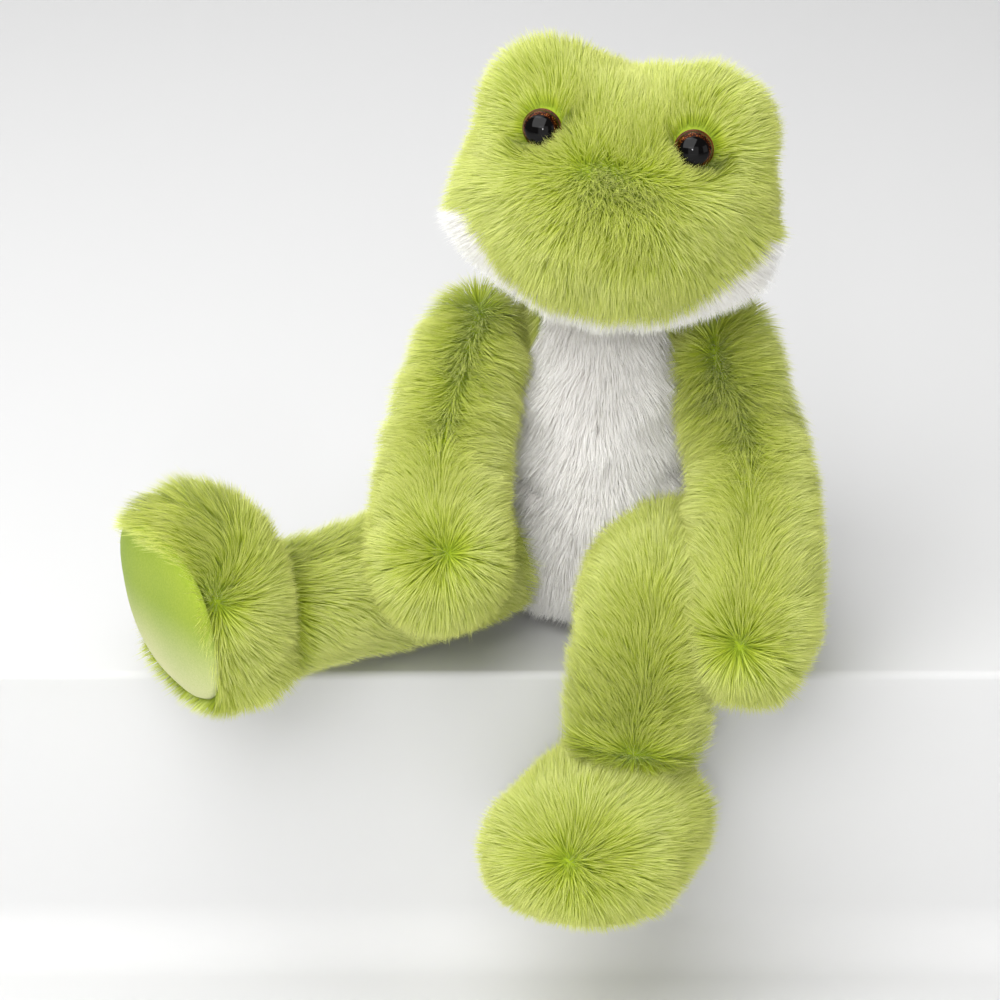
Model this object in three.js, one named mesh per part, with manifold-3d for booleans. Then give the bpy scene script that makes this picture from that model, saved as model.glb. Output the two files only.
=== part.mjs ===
// A plush frog that sits on an edge with one leg hanging over it.
// Millimetres, +Z up, the toy faces -Y. Left and right are the toy's own, so its left is +X.
// The origin is the middle of the flat seat under the body.
// The outer surfaces stand at about three quarters of the pile's height.

import * as THREE from 'three';
import { mergeVertices } from 'three/addons/utils/BufferGeometryUtils.js';
import Module from 'manifold-3d';

const wasm = await Module();
wasm.setup();

// Clearances and fabric
const seamGap = 0.3;
const jointGap = 0.8;
const fabricWall = 5;
const overrun = 40;
const weldReach = 0.0005;

// Body: a pear on a flat seat, with a round neck for the head to sit on
const torsoHeight = 150;
const torsoLean = 8;
const torsoHalfWidth = 41;
const torsoHalfDepth = 40;
const torsoLeanShares = [0, 0, 0.33, 1];
const torsoWidthShares = [0.70, 0.98, 1, 0.95, 0.86, 0.75, 0.66, 0.62];
const torsoDepthShares = [0.70, 0.97, 1, 0.94, 0.84, 0.73, 0.66, 0.62];
const neckRound = 26;
const neckOpeningRadius = 9;

// White belly panel: half widths at equal heights from its foot to its top
const bellyBottom = 5;
const bellyTop = 122;
const bellyHalfWidth = 35;
const bellyWidthShares = [0.25, 0.72, 0.97, 1, 0.93, 0.80, 0.62];
const bellyReachBack = 10;

// Head: a wide rounded block with brow bumps, cheeks and a muzzle
const headRaise = 45;
const headForward = 6;
const headShift = 6;
const headRoll = THREE.MathUtils.degToRad(8);
const headPitch = THREE.MathUtils.degToRad(-14);
const headYaw = THREE.MathUtils.degToRad(-6);
const headHalfWidth = 52;
const headHalfDepth = 47;
const headTop = 41.5;
const headBottom = 46;
const headSquareShare = 1 / 6;
const browRise = 13;
const muzzleRise = 9;
const cheekRise = 8.4;
const chinRise = 2;
const browReach = 20.9;
const muzzleReach = 32.3;
const cheekReach = 17.3;
const chinReach = 31.2;
const browAim = new THREE.Vector3(0.69, -0.22, 0.75).normalize();
const muzzleAim = new THREE.Vector3(0, -0.95, -0.28).normalize();
const cheekAim = new THREE.Vector3(0.98, -0.2, -0.29).normalize();
const chinAim = new THREE.Vector3(0, -0.5, -0.86).normalize();

// White chin panel: below a slope that falls towards the muzzle, in front of the jaw's back
const chinDrop = 11;
const chinSlopeShare = 0.62;
const chinBack = 14;

// Eyes: a domed bead on a shank, a glitter ring behind it and a lock washer inside
const eyeDiameter = 13;
const eyeDomeHeight = 4.5;
const eyeRimHeight = 1;
const eyeSpread = 29;
const eyeHeight = 23;
const eyeUpturnShare = 0.5;
const eyeRingDiameter = 14;
const eyeRingThickness = 0.8;
const eyeSink = 2.2;
const shankDiameter = 4.4;
const shankLength = 12;
const shankTip = 1;
const washerDiameter = 11;
const washerThickness = 1.6;
const washerHub = 2.4;
const washerHubDiameter = 7;

// Arms: a round root about the shoulder that swells towards the paw. A spine's places are shares of
// the arm's reach, from the shoulder
const shoulderHalfSpan = 42;
const shoulderHeight = 109;
const shoulderForward = 2;
const leftShoulderDrop = 6;
const armHalfWidth = 24.5;
const armReach = 120;
const armSwellShares = [0.65, 0.78, 0.84, 0.87, 0.93, 1, 0.98];
const rightArmSpineShares = [
    [0, 0.05, 0.125], [-0.02, -0.05, 0.02], [-0.075, -0.2, -0.12], [-0.125, -0.39, -0.32],
    [-0.12, -0.56, -0.48], [-0.08, -0.73, -0.64],
];
const leftArmSpineShares = [
    [0, 0.05, 0.125], [0.01, -0.05, 0.03], [0.04, -0.2, -0.11], [0.08, -0.37, -0.27],
    [0.09, -0.54, -0.45], [0.07, -0.7, -0.63], [0.02, -0.84, -0.8],
];

// Legs: thigh, shin and foot on one line, with the toes up when the leg lies straight
const hipHalfSpan = 22;
const hipForward = 12;
const hipHeight = 29;
const legHalfWidth = 25.5;
const thighLength = 72;
const thighSwellShares = [0.86, 0.94, 1, 1];
const thighRootRound = 14;
const shinLength = 47;
const shinHalfWidth = 25;
const shinSwellShares = [0.96, 0.97, 1, 1.04];
const shinRound = 12;
const footLength = 84;
const footHalfWidth = 35;
const footHalfDepth = 26;
const footForward = 22;
const heelBack = 25.5;
const heelRound = 19;
const footWidthShares = [0.84, 0.94, 1, 0.99, 0.9];
const footDepthShares = [0.92, 1, 1, 0.96, 0.86];
const footSquareShare = 0.4;
const soleCut = 10;
const soleWall = 3;
const soleMargin = 2.5;

// How each leg lies, in degrees: the right one straight on the seat's level, the left one hanging
const rightLieDegrees = { splay: -57, bend: 0, lean: 0, flex: 9, twist: 4, roll: 0 };
const leftLieDegrees = { splay: -4.5, bend: 73, lean: 12.5, flex: 25, twist: -25, roll: 6 };

// How far the joints turn from rest, in degrees, which the cuts between moving pieces allow for
const nodDegrees = [-12, 8];
const rightShoulderDegrees = [0, 50];
const leftShoulderDegrees = [0, 30];
const rightHipDegrees = [0, 24];
const leftHipDegrees = [0, 20];
const rightKneeDegrees = [0, 30];
const leftKneeDegrees = [0, 60];

// Facet counts
const torsoFacets = { around: 24, along: 6, cap: 3 };
const armFacets = { around: 16, along: 6, cap: 3 };
const legFacets = { around: 16, along: 3, cap: 3 };
const innerFacets = { around: 12, along: 3, cap: 2 };
const cutFacets = { around: 14, along: 3, cap: 3 };
const bodyCutFacets = { around: 14, along: 6, cap: 3 };
const roomFacets = 10;
const headFacets = { around: 26, up: 16 };
const headInnerFacets = { around: 16, up: 10 };
const turnedFacets = 20;
const domeSteps = 4;
const bellySteps = 12;

// Materials
function plush(color) {
    return new THREE.MeshStandardMaterial({ color, roughness: 0.95, metalness: 0 });
}
const greenPlush = plush(0xa0c34b);
const whitePlush = plush(0xf2f1ee);
const smoothPlush = plush(0xa5d764);
const filling = plush(0xf7f7f5);
const eyePlastic = new THREE.MeshStandardMaterial({ color: 0x080604, roughness: 0.08, metalness: 0 });
const glitterFilm = new THREE.MeshStandardMaterial({ color: 0xa85a14, roughness: 0.35, metalness: 0.6 });
const washerPlastic = new THREE.MeshStandardMaterial({ color: 0xe8e8e4, roughness: 0.4, metalness: 0 });

// A smooth curve through equally spaced values, read at t from 0 to 1
function smoothValue(values, t) {
    const last = values.length - 1;
    const place = Math.min(Math.max(t, 0), 1) * last;
    const i = Math.min(Math.floor(place), last - 1);
    const u = place - i;
    const a = values[Math.max(i - 1, 0)];
    const b = values[i];
    const c = values[i + 1];
    const d = values[Math.min(i + 2, last)];
    const slopeIn = (c - a) / 2;
    const slopeOut = (d - b) / 2;
    const rise = c - b;
    return b + u * (slopeIn + u * (3 * rise - 2 * slopeIn - slopeOut + u * (slopeIn + slopeOut - 2 * rise)));
}

// The stations of a soft form: where along the spine each ring sits, how open it is (0 at a pole,
// 1 on the full section), and how far it leans out along the spine when the form grows
function stations(form, facets) {
    const length = form.curve.getLength();
    const startShare = form.startRound / length;
    const endShare = form.endRound / length;
    const turns = Array.from({ length: facets.cap }, (_, i) => (i / facets.cap) * Math.PI / 2);
    const start = turns.map((angle) => (
        { t: startShare * (1 - Math.cos(angle)), open: Math.sin(angle), lean: -Math.cos(angle) }));
    const end = turns.toReversed().map((angle) => (
        { t: 1 - endShare * (1 - Math.cos(angle)), open: Math.sin(angle), lean: Math.cos(angle) }));
    const middle = Array.from({ length: facets.along + 1 }, (_, i) => (
        { t: startShare + (1 - endShare - startShare) * (i / facets.along), open: 1, lean: 0 }));
    if (form.startRound > 0) {
        return [...start, ...middle, ...end];
    }
    const flatEnd = [{ t: 0, open: 0, lean: -1 }, { t: 0, open: 1, lean: -1 }];
    return [...flatEnd, ...middle.slice(1), ...end];
}

// A sine or cosine taken a share of the way to its end values, which squares off the section it traces
const squared = (value, share) => Math.sign(value) * Math.abs(value) ** (1 - share);

// A stuffed form: an oval section that swells and tapers along a curve, with round ends, or a flat
// start where startRound is 0. Its underside is squared off by underSquareShare. grow moves the whole
// surface outwards, or inwards where negative.
function softForm(form, facets, grow = 0) {
    const positions = [];
    const rings = stations(form, facets).map(({ t, open, lean }) => {
        const tangent = form.curve.getTangentAt(t);
        const centre = form.curve.getPointAt(t).addScaledVector(tangent, lean * grow);
        const across = new THREE.Vector3(1, 0, 0).addScaledVector(tangent, -tangent.x).normalize();
        const up = tangent.clone().cross(across);
        const width = (form.halfWidth * smoothValue(form.widthShares, t) + grow) * open;
        const depth = (form.halfDepth * smoothValue(form.depthShares, t) + grow) * open;
        const count = open === 0 ? 1 : facets.around;
        return Array.from({ length: count }, (_, j) => {
            const angle = (j / count) * 2 * Math.PI;
            const share = Math.sin(angle) < 0 ? form.underSquareShare ?? 0 : 0;
            const point = centre.clone()
                .addScaledVector(across, width * squared(Math.cos(angle), share))
                .addScaledVector(up, depth * squared(Math.sin(angle), share));
            positions.push(...point);
            return positions.length / 3 - 1;
        });
    });
    return closedGeometry(positions, rings);
}

// Joins rings of points into a closed surface; a ring of one point is a pole
function closedGeometry(positions, rings) {
    const index = [];
    for (let i = 0; i + 1 < rings.length; i++) {
        const low = rings[i];
        const high = rings[i + 1];
        const count = Math.max(low.length, high.length);
        for (let j = 0; j < count; j++) {
            const k = (j + 1) % count;
            if (low.length === 1) {
                index.push(low[0], high[k], high[j]);
            } else if (high.length === 1) {
                index.push(low[j], low[k], high[0]);
            } else {
                index.push(low[j], low[k], high[k], low[j], high[k], high[j]);
            }
        }
    }
    const geometry = new THREE.BufferGeometry();
    geometry.setAttribute('position', new THREE.Float32BufferAttribute(positions, 3));
    geometry.setIndex(index);
    return geometry;
}

// Head radius in a direction: an ellipsoid, squared off by a share of the way to a box, plus a smooth
// rise at each bump that dies away over its reach along the surface
function headRadius(direction) {
    const p = 2 / (1 - headSquareShare);
    const sum = Math.abs(direction.x / headHalfWidth) ** p
        + Math.abs(direction.y / headHalfDepth) ** p
        + Math.abs(direction.z / (direction.z > 0 ? headTop : headBottom)) ** p;
    const mirrored = new THREE.Vector3(Math.abs(direction.x), direction.y, direction.z);
    const bump = (aim, rise, reach, toward) => (
        rise * Math.exp(-((toward.angleTo(aim) * headHalfWidth / reach) ** 2)));
    return sum ** (-1 / p)
        + bump(browAim, browRise, browReach, mirrored)
        + bump(cheekAim, cheekRise, cheekReach, mirrored)
        + bump(muzzleAim, muzzleRise, muzzleReach, direction)
        + bump(chinAim, chinRise, chinReach, direction);
}

function headForm({ around, up }, grow = 0) {
    const positions = [];
    const rings = Array.from({ length: up + 1 }, (_, i) => {
        const polar = Math.PI * (1 - i / up);
        const count = i === 0 || i === up ? 1 : around;
        return Array.from({ length: count }, (_, j) => {
            const azimuth = (j / around) * 2 * Math.PI;
            const direction = new THREE.Vector3().setFromSphericalCoords(1, polar, azimuth);
            direction.set(direction.z, direction.x, direction.y);
            positions.push(...direction.multiplyScalar(headRadius(direction) + grow));
            return positions.length / 3 - 1;
        });
    });
    return closedGeometry(positions, rings);
}

// Solids for joining and cutting
function solid(geometry, matrix = new THREE.Matrix4()) {
    const plain = geometry.clone();
    plain.deleteAttribute('normal');
    plain.deleteAttribute('uv');
    plain.applyMatrix4(matrix);
    const merged = mergeVertices(plain, weldReach);
    return new wasm.Manifold(new wasm.Mesh({
        numProp: 3,
        vertProperties: new Float32Array(merged.attributes.position.array),
        triVerts: new Uint32Array(merged.index.array),
    }));
}

// The largest body of a cut piece: slivers that a cut leaves loose are trimmed away
function mainBody(piece) {
    return piece.decompose().reduce((best, body) => (body.volume() > best.volume() ? body : best));
}

function mesh(name, piece, material) {
    const { vertProperties, triVerts } = mainBody(piece).getMesh();
    const geometry = new THREE.BufferGeometry();
    geometry.setAttribute('position', new THREE.Float32BufferAttribute(vertProperties, 3));
    geometry.setIndex(new THREE.Uint32BufferAttribute(triVerts, 1));
    geometry.computeVertexNormals();
    const result = new THREE.Mesh(geometry, material);
    result.name = name;
    return result;
}

// How far a shape that cuts grows: the joint's gap, and what its own flat facets fall short by
function cutGrow(radius) {
    return jointGap + radius * (1 - Math.cos(Math.PI / cutFacets.around));
}

// The shape of a piece in its owner's frame, as another group sees it
function seenFrom(viewer, geometry, owner) {
    frog.updateMatrixWorld(true);
    return solid(geometry, viewer.matrixWorld.clone().invert().multiply(owner.matrixWorld));
}

// The space that a neighbour takes up for the viewer while a joint turns: the neighbour's shape at
// equal turns over the joint's range
function sweptSpace(viewer, geometry, owner, joint, count) {
    const [low, high] = joint.range;
    const copies = Array.from({ length: count }, (_, i) => {
        const turn = THREE.MathUtils.degToRad(low + (high - low) * (i / (count - 1)));
        joint.group.rotateOnAxis(joint.axis, turn);
        const copy = seenFrom(viewer, geometry, owner);
        joint.group.rotateOnAxis(joint.axis, -turn);
        return copy;
    });
    return copies.reduce((space, copy) => space.add(copy));
}

// A ball about a joint, a little larger than the round end that turns in it
function jointBall(radius) {
    return solid(new THREE.SphereGeometry(radius + cutGrow(radius), cutFacets.around, cutFacets.around / 2));
}

const frog = new THREE.Group();

// Body
const torso = {
    curve: new THREE.CatmullRomCurve3(torsoLeanShares.map((share, i, all) =>
        new THREE.Vector3(0, -torsoLean * share, torsoHeight * i / (all.length - 1)))),
    halfWidth: torsoHalfWidth,
    halfDepth: torsoHalfDepth,
    widthShares: torsoWidthShares,
    depthShares: torsoDepthShares,
    startRound: 0,
    endRound: neckRound,
};
const torsoCutter = softForm(torso, bodyCutFacets, cutGrow(torsoHalfWidth));

// The belly's outline in the front view, carried back through the front of the skin
function bellyBlock(grow) {
    const low = bellyBottom - grow;
    const high = bellyTop + grow;
    const right = Array.from({ length: bellySteps + 1 }, (_, i) => {
        const t = i / bellySteps;
        const halfWidth = bellyHalfWidth * smoothValue(bellyWidthShares, t) + grow;
        return new THREE.Vector2(halfWidth, low + (high - low) * t);
    });
    const left = right.map((point) => new THREE.Vector2(-point.x, point.y)).reverse();
    const depth = torsoHalfDepth + torsoLean + overrun;
    const geometry = new THREE.ExtrudeGeometry(
        new THREE.Shape([...right, ...left]), { depth, bevelEnabled: false });
    geometry.rotateX(Math.PI / 2);
    return solid(geometry.translate(0, -bellyReachBack, 0));
}

const neckOpening = new THREE.CylinderGeometry(
    neckOpeningRadius, neckOpeningRadius, overrun, turnedFacets);
neckOpening.rotateX(Math.PI / 2).translate(0, -torsoLean, torsoHeight);
const torsoSkin = solid(softForm(torso, torsoFacets))
    .subtract(solid(softForm(torso, innerFacets, -fabricWall)))
    .subtract(solid(neckOpening));
frog.add(mesh('torso_skin', torsoSkin.subtract(bellyBlock(seamGap)), greenPlush));
frog.add(mesh('belly_panel', torsoSkin.intersect(bellyBlock(0)), whitePlush));
frog.add(mesh('torso_filling', solid(softForm(torso, innerFacets, -fabricWall - seamGap)), filling));

// Head, nodding about the middle of the body's round top
const neckHeight = torsoHeight - neckRound;
const neck = new THREE.Group();
neck.position.set(0, -torsoLean * neckHeight / torsoHeight, neckHeight);
frog.add(neck);
const head = new THREE.Group();
head.position.set(headShift, -headForward, headRaise);
head.rotation.set(headPitch, headRoll, headYaw, 'ZXY');
neck.add(head);
head.updateMatrix();
const nod = { group: neck, axis: new THREE.Vector3(-1, 0, 0), range: nodDegrees };
const neckSpace = sweptSpace(neck, torsoCutter, frog, nod, 2).add(jointBall(neckRound))
    .transform(head.matrix.clone().invert().toArray());

// The lower front of the head, under a slope that falls towards the muzzle
function chinBlock(grow) {
    const front = -headHalfDepth - overrun;
    const back = chinBack + grow;
    const low = -headBottom - overrun;
    const slope = (place) => -chinDrop + place * chinSlopeShare + grow;
    const shape = new THREE.Shape([
        new THREE.Vector2(back, low), new THREE.Vector2(back, slope(back)),
        new THREE.Vector2(front, slope(front)), new THREE.Vector2(front, low),
    ]);
    const depth = 2 * (headHalfWidth + overrun);
    const geometry = new THREE.ExtrudeGeometry(shape, { depth, bevelEnabled: false });
    const sideways = new THREE.Matrix4().makeBasis(
        new THREE.Vector3(0, 1, 0), new THREE.Vector3(0, 0, 1), new THREE.Vector3(1, 0, 0));
    return solid(geometry.applyMatrix4(sideways).translate(-depth / 2, 0, 0));
}

// Where an eye sits: on the head's surface at its named width and height, facing out
function eyeSeat(sign) {
    const aim = new THREE.Vector3(sign * eyeSpread, -headHalfDepth, eyeHeight).normalize();
    const facing = aim.clone().setZ(aim.z * eyeUpturnShare).normalize();
    const across = new THREE.Vector3(0, 0, 1).cross(facing).normalize();
    const place = aim.clone().multiplyScalar(headRadius(aim)).addScaledVector(facing, -eyeSink);
    return new THREE.Matrix4().makeBasis(across, facing.clone().cross(across), facing).setPosition(place);
}

// A turned profile of radius and height pairs, standing on Z
function turned(points, facets = turnedFacets) {
    const profile = points.map(([radius, height]) => new THREE.Vector2(radius, height));
    return new THREE.LatheGeometry(profile, facets).rotateX(Math.PI / 2);
}

// Heights below an eye's rim: the ring's back face, the washer's front and back faces, its hub's end
const shankHole = shankDiameter / 2 + seamGap;
const ringBack = -eyeRingThickness - seamGap;
const washerFront = ringBack - fabricWall + eyeSink - 2 * seamGap;
const washerBack = washerFront - washerThickness;
const hubBack = washerBack - washerHub;

function eyeProfile() {
    const radius = eyeDiameter / 2;
    const shank = shankDiameter / 2;
    const dome = Array.from({ length: domeSteps }, (_, i) => {
        const angle = (i / domeSteps) * Math.PI / 2;
        return [radius * Math.cos(angle), eyeRimHeight + eyeDomeHeight * Math.sin(angle)];
    });
    return [[0, -shankLength], [shank - shankTip, -shankLength], [shank, -shankLength + shankTip],
        [shank, 0], [radius, 0], ...dome, [0, eyeRimHeight + eyeDomeHeight]];
}

function ringProfile() {
    const outer = eyeRingDiameter / 2;
    return [[shankHole, ringBack], [outer, ringBack], [outer, -seamGap], [shankHole, -seamGap],
        [shankHole, ringBack]];
}

function washerProfile() {
    const outer = washerDiameter / 2;
    const hub = washerHubDiameter / 2;
    return [[shankHole, hubBack], [hub, hubBack], [hub, washerBack], [outer, washerBack],
        [outer, washerFront], [shankHole, washerFront], [shankHole, hubBack]];
}

// The room that an eye and its ring take in the skin, with the shank's hole
function eyeSocket() {
    const pocket = eyeRingDiameter / 2 + seamGap;
    const low = ringBack - seamGap;
    return turned([[0, -overrun], [shankHole, -overrun], [shankHole, low], [pocket, low],
        [pocket, overrun], [0, overrun]]);
}

// The room that the washer and the shank's end take, up to a height below the eye's rim
function washerRoom(high) {
    const radius = (washerDiameter / 2 + seamGap) / Math.cos(Math.PI / roomFacets);
    const low = Math.min(-shankLength, hubBack) - seamGap;
    return turned([[0, low], [radius, low], [radius, high], [0, high]], roomFacets);
}

const seats = { left: eyeSeat(1), right: eyeSeat(-1) };
let headSkin = solid(headForm(headFacets))
    .subtract(solid(headForm(headInnerFacets, -fabricWall)))
    .subtract(neckSpace);
let headStuffing = solid(headForm(headInnerFacets, -fabricWall - seamGap)).subtract(neckSpace);
for (const seat of Object.values(seats)) {
    headSkin = headSkin.subtract(solid(eyeSocket(), seat))
        .subtract(solid(washerRoom(washerFront + seamGap), seat));
    headStuffing = headStuffing.subtract(solid(washerRoom(overrun), seat));
}
head.add(mesh('head_skin', headSkin.subtract(chinBlock(seamGap)), greenPlush));
head.add(mesh('chin_panel', headSkin.intersect(chinBlock(0)), whitePlush));
head.add(mesh('head_filling', headStuffing, filling));
for (const [side, seat] of Object.entries(seats)) {
    const eye = new THREE.Group();
    eye.applyMatrix4(seat);
    head.add(eye);
    eye.add(mesh(`${side}_eye`, solid(turned(eyeProfile())), eyePlastic));
    eye.add(mesh(`${side}_eye_ring`, solid(turned(ringProfile())), glitterFilm));
    eye.add(mesh(`${side}_eye_washer`, solid(turned(washerProfile())), washerPlastic));
}

// A straight form along -Y of its group
function straightForm(start, end, halfWidth, shares, startRound, endRound) {
    return {
        curve: new THREE.LineCurve3(new THREE.Vector3(0, start, 0), new THREE.Vector3(0, end, 0)),
        halfWidth,
        halfDepth: halfWidth,
        widthShares: shares,
        depthShares: shares,
        startRound,
        endRound,
    };
}
const thighForm = straightForm(
    0, -thighLength - legHalfWidth, legHalfWidth, thighSwellShares, thighRootRound, legHalfWidth);
const shinForm = straightForm(0, -shinLength, shinHalfWidth, shinSwellShares, shinRound, shinRound);
const footForm = {
    curve: new THREE.LineCurve3(
        new THREE.Vector3(0, -footForward, -heelBack),
        new THREE.Vector3(0, -footForward, footLength - heelBack)),
    halfWidth: footHalfWidth,
    halfDepth: footHalfDepth,
    widthShares: footWidthShares,
    depthShares: footDepthShares,
    startRound: heelRound,
    endRound: footHalfDepth,
    underSquareShare: footSquareShare,
};

// Everything past a plane that lies inside the sole's face
function pastSole(inset) {
    const size = 2 * (footLength + overrun);
    const plane = -footForward - footHalfDepth + soleCut + inset;
    return solid(new THREE.BoxGeometry(size, size, size).translate(0, plane - size / 2, 0));
}

// Shapes that cut the neighbours of the legs and the head
const thighCutter = softForm(thighForm, cutFacets, cutGrow(legHalfWidth));
const shinCutter = softForm(shinForm, cutFacets, cutGrow(shinHalfWidth));
const footCutter = softForm(footForm, cutFacets, cutGrow(footHalfWidth));
const headCutter = headForm(headFacets, jointGap);

// Legs
function buildLeg(side, sign, lie, hipRange, kneeRange) {
    const turn = (name) => THREE.MathUtils.degToRad(lie[name]);
    const leg = new THREE.Group();
    leg.position.set(sign * hipHalfSpan, -hipForward, hipHeight);
    leg.rotation.z = turn('splay');
    frog.add(leg);
    const knee = new THREE.Group();
    knee.position.y = -thighLength;
    knee.rotation.set(turn('bend'), turn('lean'), 0, 'YXZ');
    leg.add(knee);
    const ankle = new THREE.Group();
    ankle.position.y = -shinLength;
    ankle.rotation.set(turn('flex'), turn('twist'), turn('roll'), 'YXZ');
    knee.add(ankle);
    const hipJoint = { group: leg, axis: new THREE.Vector3(0, 0, -1), range: hipRange };
    const kneeJoint = { group: knee, axis: new THREE.Vector3(-1, 0, 0), range: kneeRange };

    const hipSpace = sweptSpace(leg, torsoCutter, frog, hipJoint, 3);
    const thighSkin = solid(softForm(thighForm, legFacets))
        .subtract(solid(softForm(thighForm, innerFacets, -fabricWall)));
    const thighCore = solid(softForm(thighForm, innerFacets, -fabricWall - seamGap));
    leg.add(mesh(`${side}_thigh_skin`, thighSkin.subtract(hipSpace), greenPlush));
    leg.add(mesh(`${side}_thigh_filling`, thighCore.subtract(hipSpace), filling));

    const kneeSpace = sweptSpace(knee, thighCutter, leg, kneeJoint, 2).add(jointBall(legHalfWidth));
    const shinSpace = kneeSpace.add(seenFrom(knee, softForm(footForm, legFacets, seamGap), ankle));
    const shinSkin = solid(softForm(shinForm, legFacets))
        .subtract(solid(softForm(shinForm, innerFacets, -fabricWall)));
    const shinCore = solid(softForm(shinForm, innerFacets, -fabricWall - seamGap));
    knee.add(mesh(`${side}_shin_skin`, shinSkin.subtract(shinSpace), greenPlush));
    knee.add(mesh(`${side}_shin_filling`, shinCore.subtract(shinSpace), filling));

    const footSkin = solid(softForm(footForm, legFacets)).subtract(pastSole(0))
        .subtract(solid(softForm(footForm, innerFacets, -fabricWall)).subtract(pastSole(soleWall)));
    const soleOpening = solid(softForm(footForm, legFacets, -soleMargin))
        .intersect(pastSole(soleWall + seamGap));
    const solePanel = solid(softForm(footForm, legFacets, -soleMargin - seamGap))
        .intersect(pastSole(soleWall)).intersect(footSkin);
    const footCore = solid(softForm(footForm, innerFacets, -fabricWall - seamGap))
        .subtract(pastSole(soleWall + seamGap));
    ankle.add(mesh(`${side}_foot_skin`, footSkin.subtract(soleOpening), greenPlush));
    ankle.add(mesh(`${side}_sole_panel`, solePanel, smoothPlush));
    ankle.add(mesh(`${side}_foot_filling`, footCore, filling));
    return { leg, knee, ankle, kneeJoint };
}
const rightLeg = buildLeg('right', -1, rightLieDegrees, rightHipDegrees, rightKneeDegrees);
const leftLeg = buildLeg('left', 1, leftLieDegrees, leftHipDegrees, leftKneeDegrees);

// Arms, each shaped round the body that it hangs from and the leg that it lies on
function buildArm(side, sign, drop, spineShares, range, { leg, knee, ankle, kneeJoint }) {
    const arm = new THREE.Group();
    arm.position.set(sign * shoulderHalfSpan, -shoulderForward, shoulderHeight - drop);
    frog.add(arm);
    const form = {
        curve: new THREE.CatmullRomCurve3(
            spineShares.map((place) => new THREE.Vector3(...place).multiplyScalar(armReach))),
        halfWidth: armHalfWidth,
        halfDepth: armHalfWidth,
        widthShares: armSwellShares,
        depthShares: armSwellShares,
        startRound: armHalfWidth * armSwellShares[0],
        endRound: armHalfWidth,
    };
    const shoulder = { group: arm, axis: new THREE.Vector3(-1, 0, 0), range };
    const space = sweptSpace(arm, torsoCutter, frog, shoulder, 3)
        .add(sweptSpace(arm, thighCutter, leg, shoulder, 8))
        .add(sweptSpace(arm, shinCutter, knee, kneeJoint, 3))
        .add(sweptSpace(arm, footCutter, ankle, kneeJoint, 3))
        .add(sweptSpace(arm, headCutter, head, shoulder, 3));
    const skin = solid(softForm(form, armFacets)).subtract(solid(softForm(form, innerFacets, -fabricWall)));
    const core = solid(softForm(form, innerFacets, -fabricWall - seamGap));
    arm.add(mesh(`${side}_arm_skin`, skin.subtract(space), greenPlush));
    arm.add(mesh(`${side}_arm_filling`, core.subtract(space), filling));
}
buildArm('right', -1, 0, rightArmSpineShares, rightShoulderDegrees, rightLeg);
buildArm('left', 1, leftShoulderDrop, leftArmSpineShares, leftShoulderDegrees, leftLeg);

export default frog;
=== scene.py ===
import bmesh
import bpy
import numpy as np
from mathutils import Matrix, Vector


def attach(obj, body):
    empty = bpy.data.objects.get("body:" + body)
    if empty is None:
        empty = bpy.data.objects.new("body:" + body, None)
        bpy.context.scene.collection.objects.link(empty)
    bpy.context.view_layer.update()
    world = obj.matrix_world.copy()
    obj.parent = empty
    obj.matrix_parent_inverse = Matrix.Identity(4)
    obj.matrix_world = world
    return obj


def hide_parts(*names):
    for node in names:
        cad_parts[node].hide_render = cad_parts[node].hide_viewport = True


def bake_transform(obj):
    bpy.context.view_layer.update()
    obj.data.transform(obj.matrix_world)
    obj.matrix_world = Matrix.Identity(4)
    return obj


# A plush frog that sits on an edge with one leg hanging over it. Sizes are in millimetres in the
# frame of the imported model, +Z up, the toy faces -Y, and are turned into metres when a mesh is made.
# Each soft part is a stuffed cloth form with its pile grown on it strand by strand.

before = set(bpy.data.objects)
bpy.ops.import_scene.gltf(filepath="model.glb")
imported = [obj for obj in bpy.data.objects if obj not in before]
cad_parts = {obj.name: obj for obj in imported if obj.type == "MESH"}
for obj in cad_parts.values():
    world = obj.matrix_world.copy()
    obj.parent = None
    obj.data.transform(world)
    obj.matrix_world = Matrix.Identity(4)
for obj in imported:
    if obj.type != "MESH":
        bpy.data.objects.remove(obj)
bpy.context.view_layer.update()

MM = 0.001
SIGNS = {"right": -1, "left": 1}
rng = np.random.default_rng(7)

# Body
TORSO_HEIGHT = 150.0
TORSO_LEAN = 8.0
TORSO_LEAN_SHARES = (0, 0, 0.33, 1)
TORSO_HALF_WIDTH = 41.0
TORSO_HALF_DEPTH = 40.0
TORSO_WIDTH_SHARES = (0.70, 0.98, 1, 0.95, 0.86, 0.75, 0.66, 0.62)
TORSO_DEPTH_SHARES = (0.70, 0.97, 1, 0.94, 0.84, 0.73, 0.66, 0.62)
SEAT_ROUND = 12.0
NECK_ROUND = 26.0
BELLY_BOTTOM = -2.0
BELLY_TOP = 122.0
BELLY_HALF_WIDTH = 36.0
BELLY_WIDTH_SHARES = (0.95, 1, 1, 1, 0.93, 0.80, 0.62)
BELLY_BACK = -10.0
HIP_CREASE_HEIGHT = 60.0
HIP_CREASE_DEPTH = 3.5
HIP_CREASE_REACH = 5
HIP_CREASE_WAVES = 4
HIP_CREASE_FROM, HIP_CREASE_BLEND = 8, 14

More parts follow.
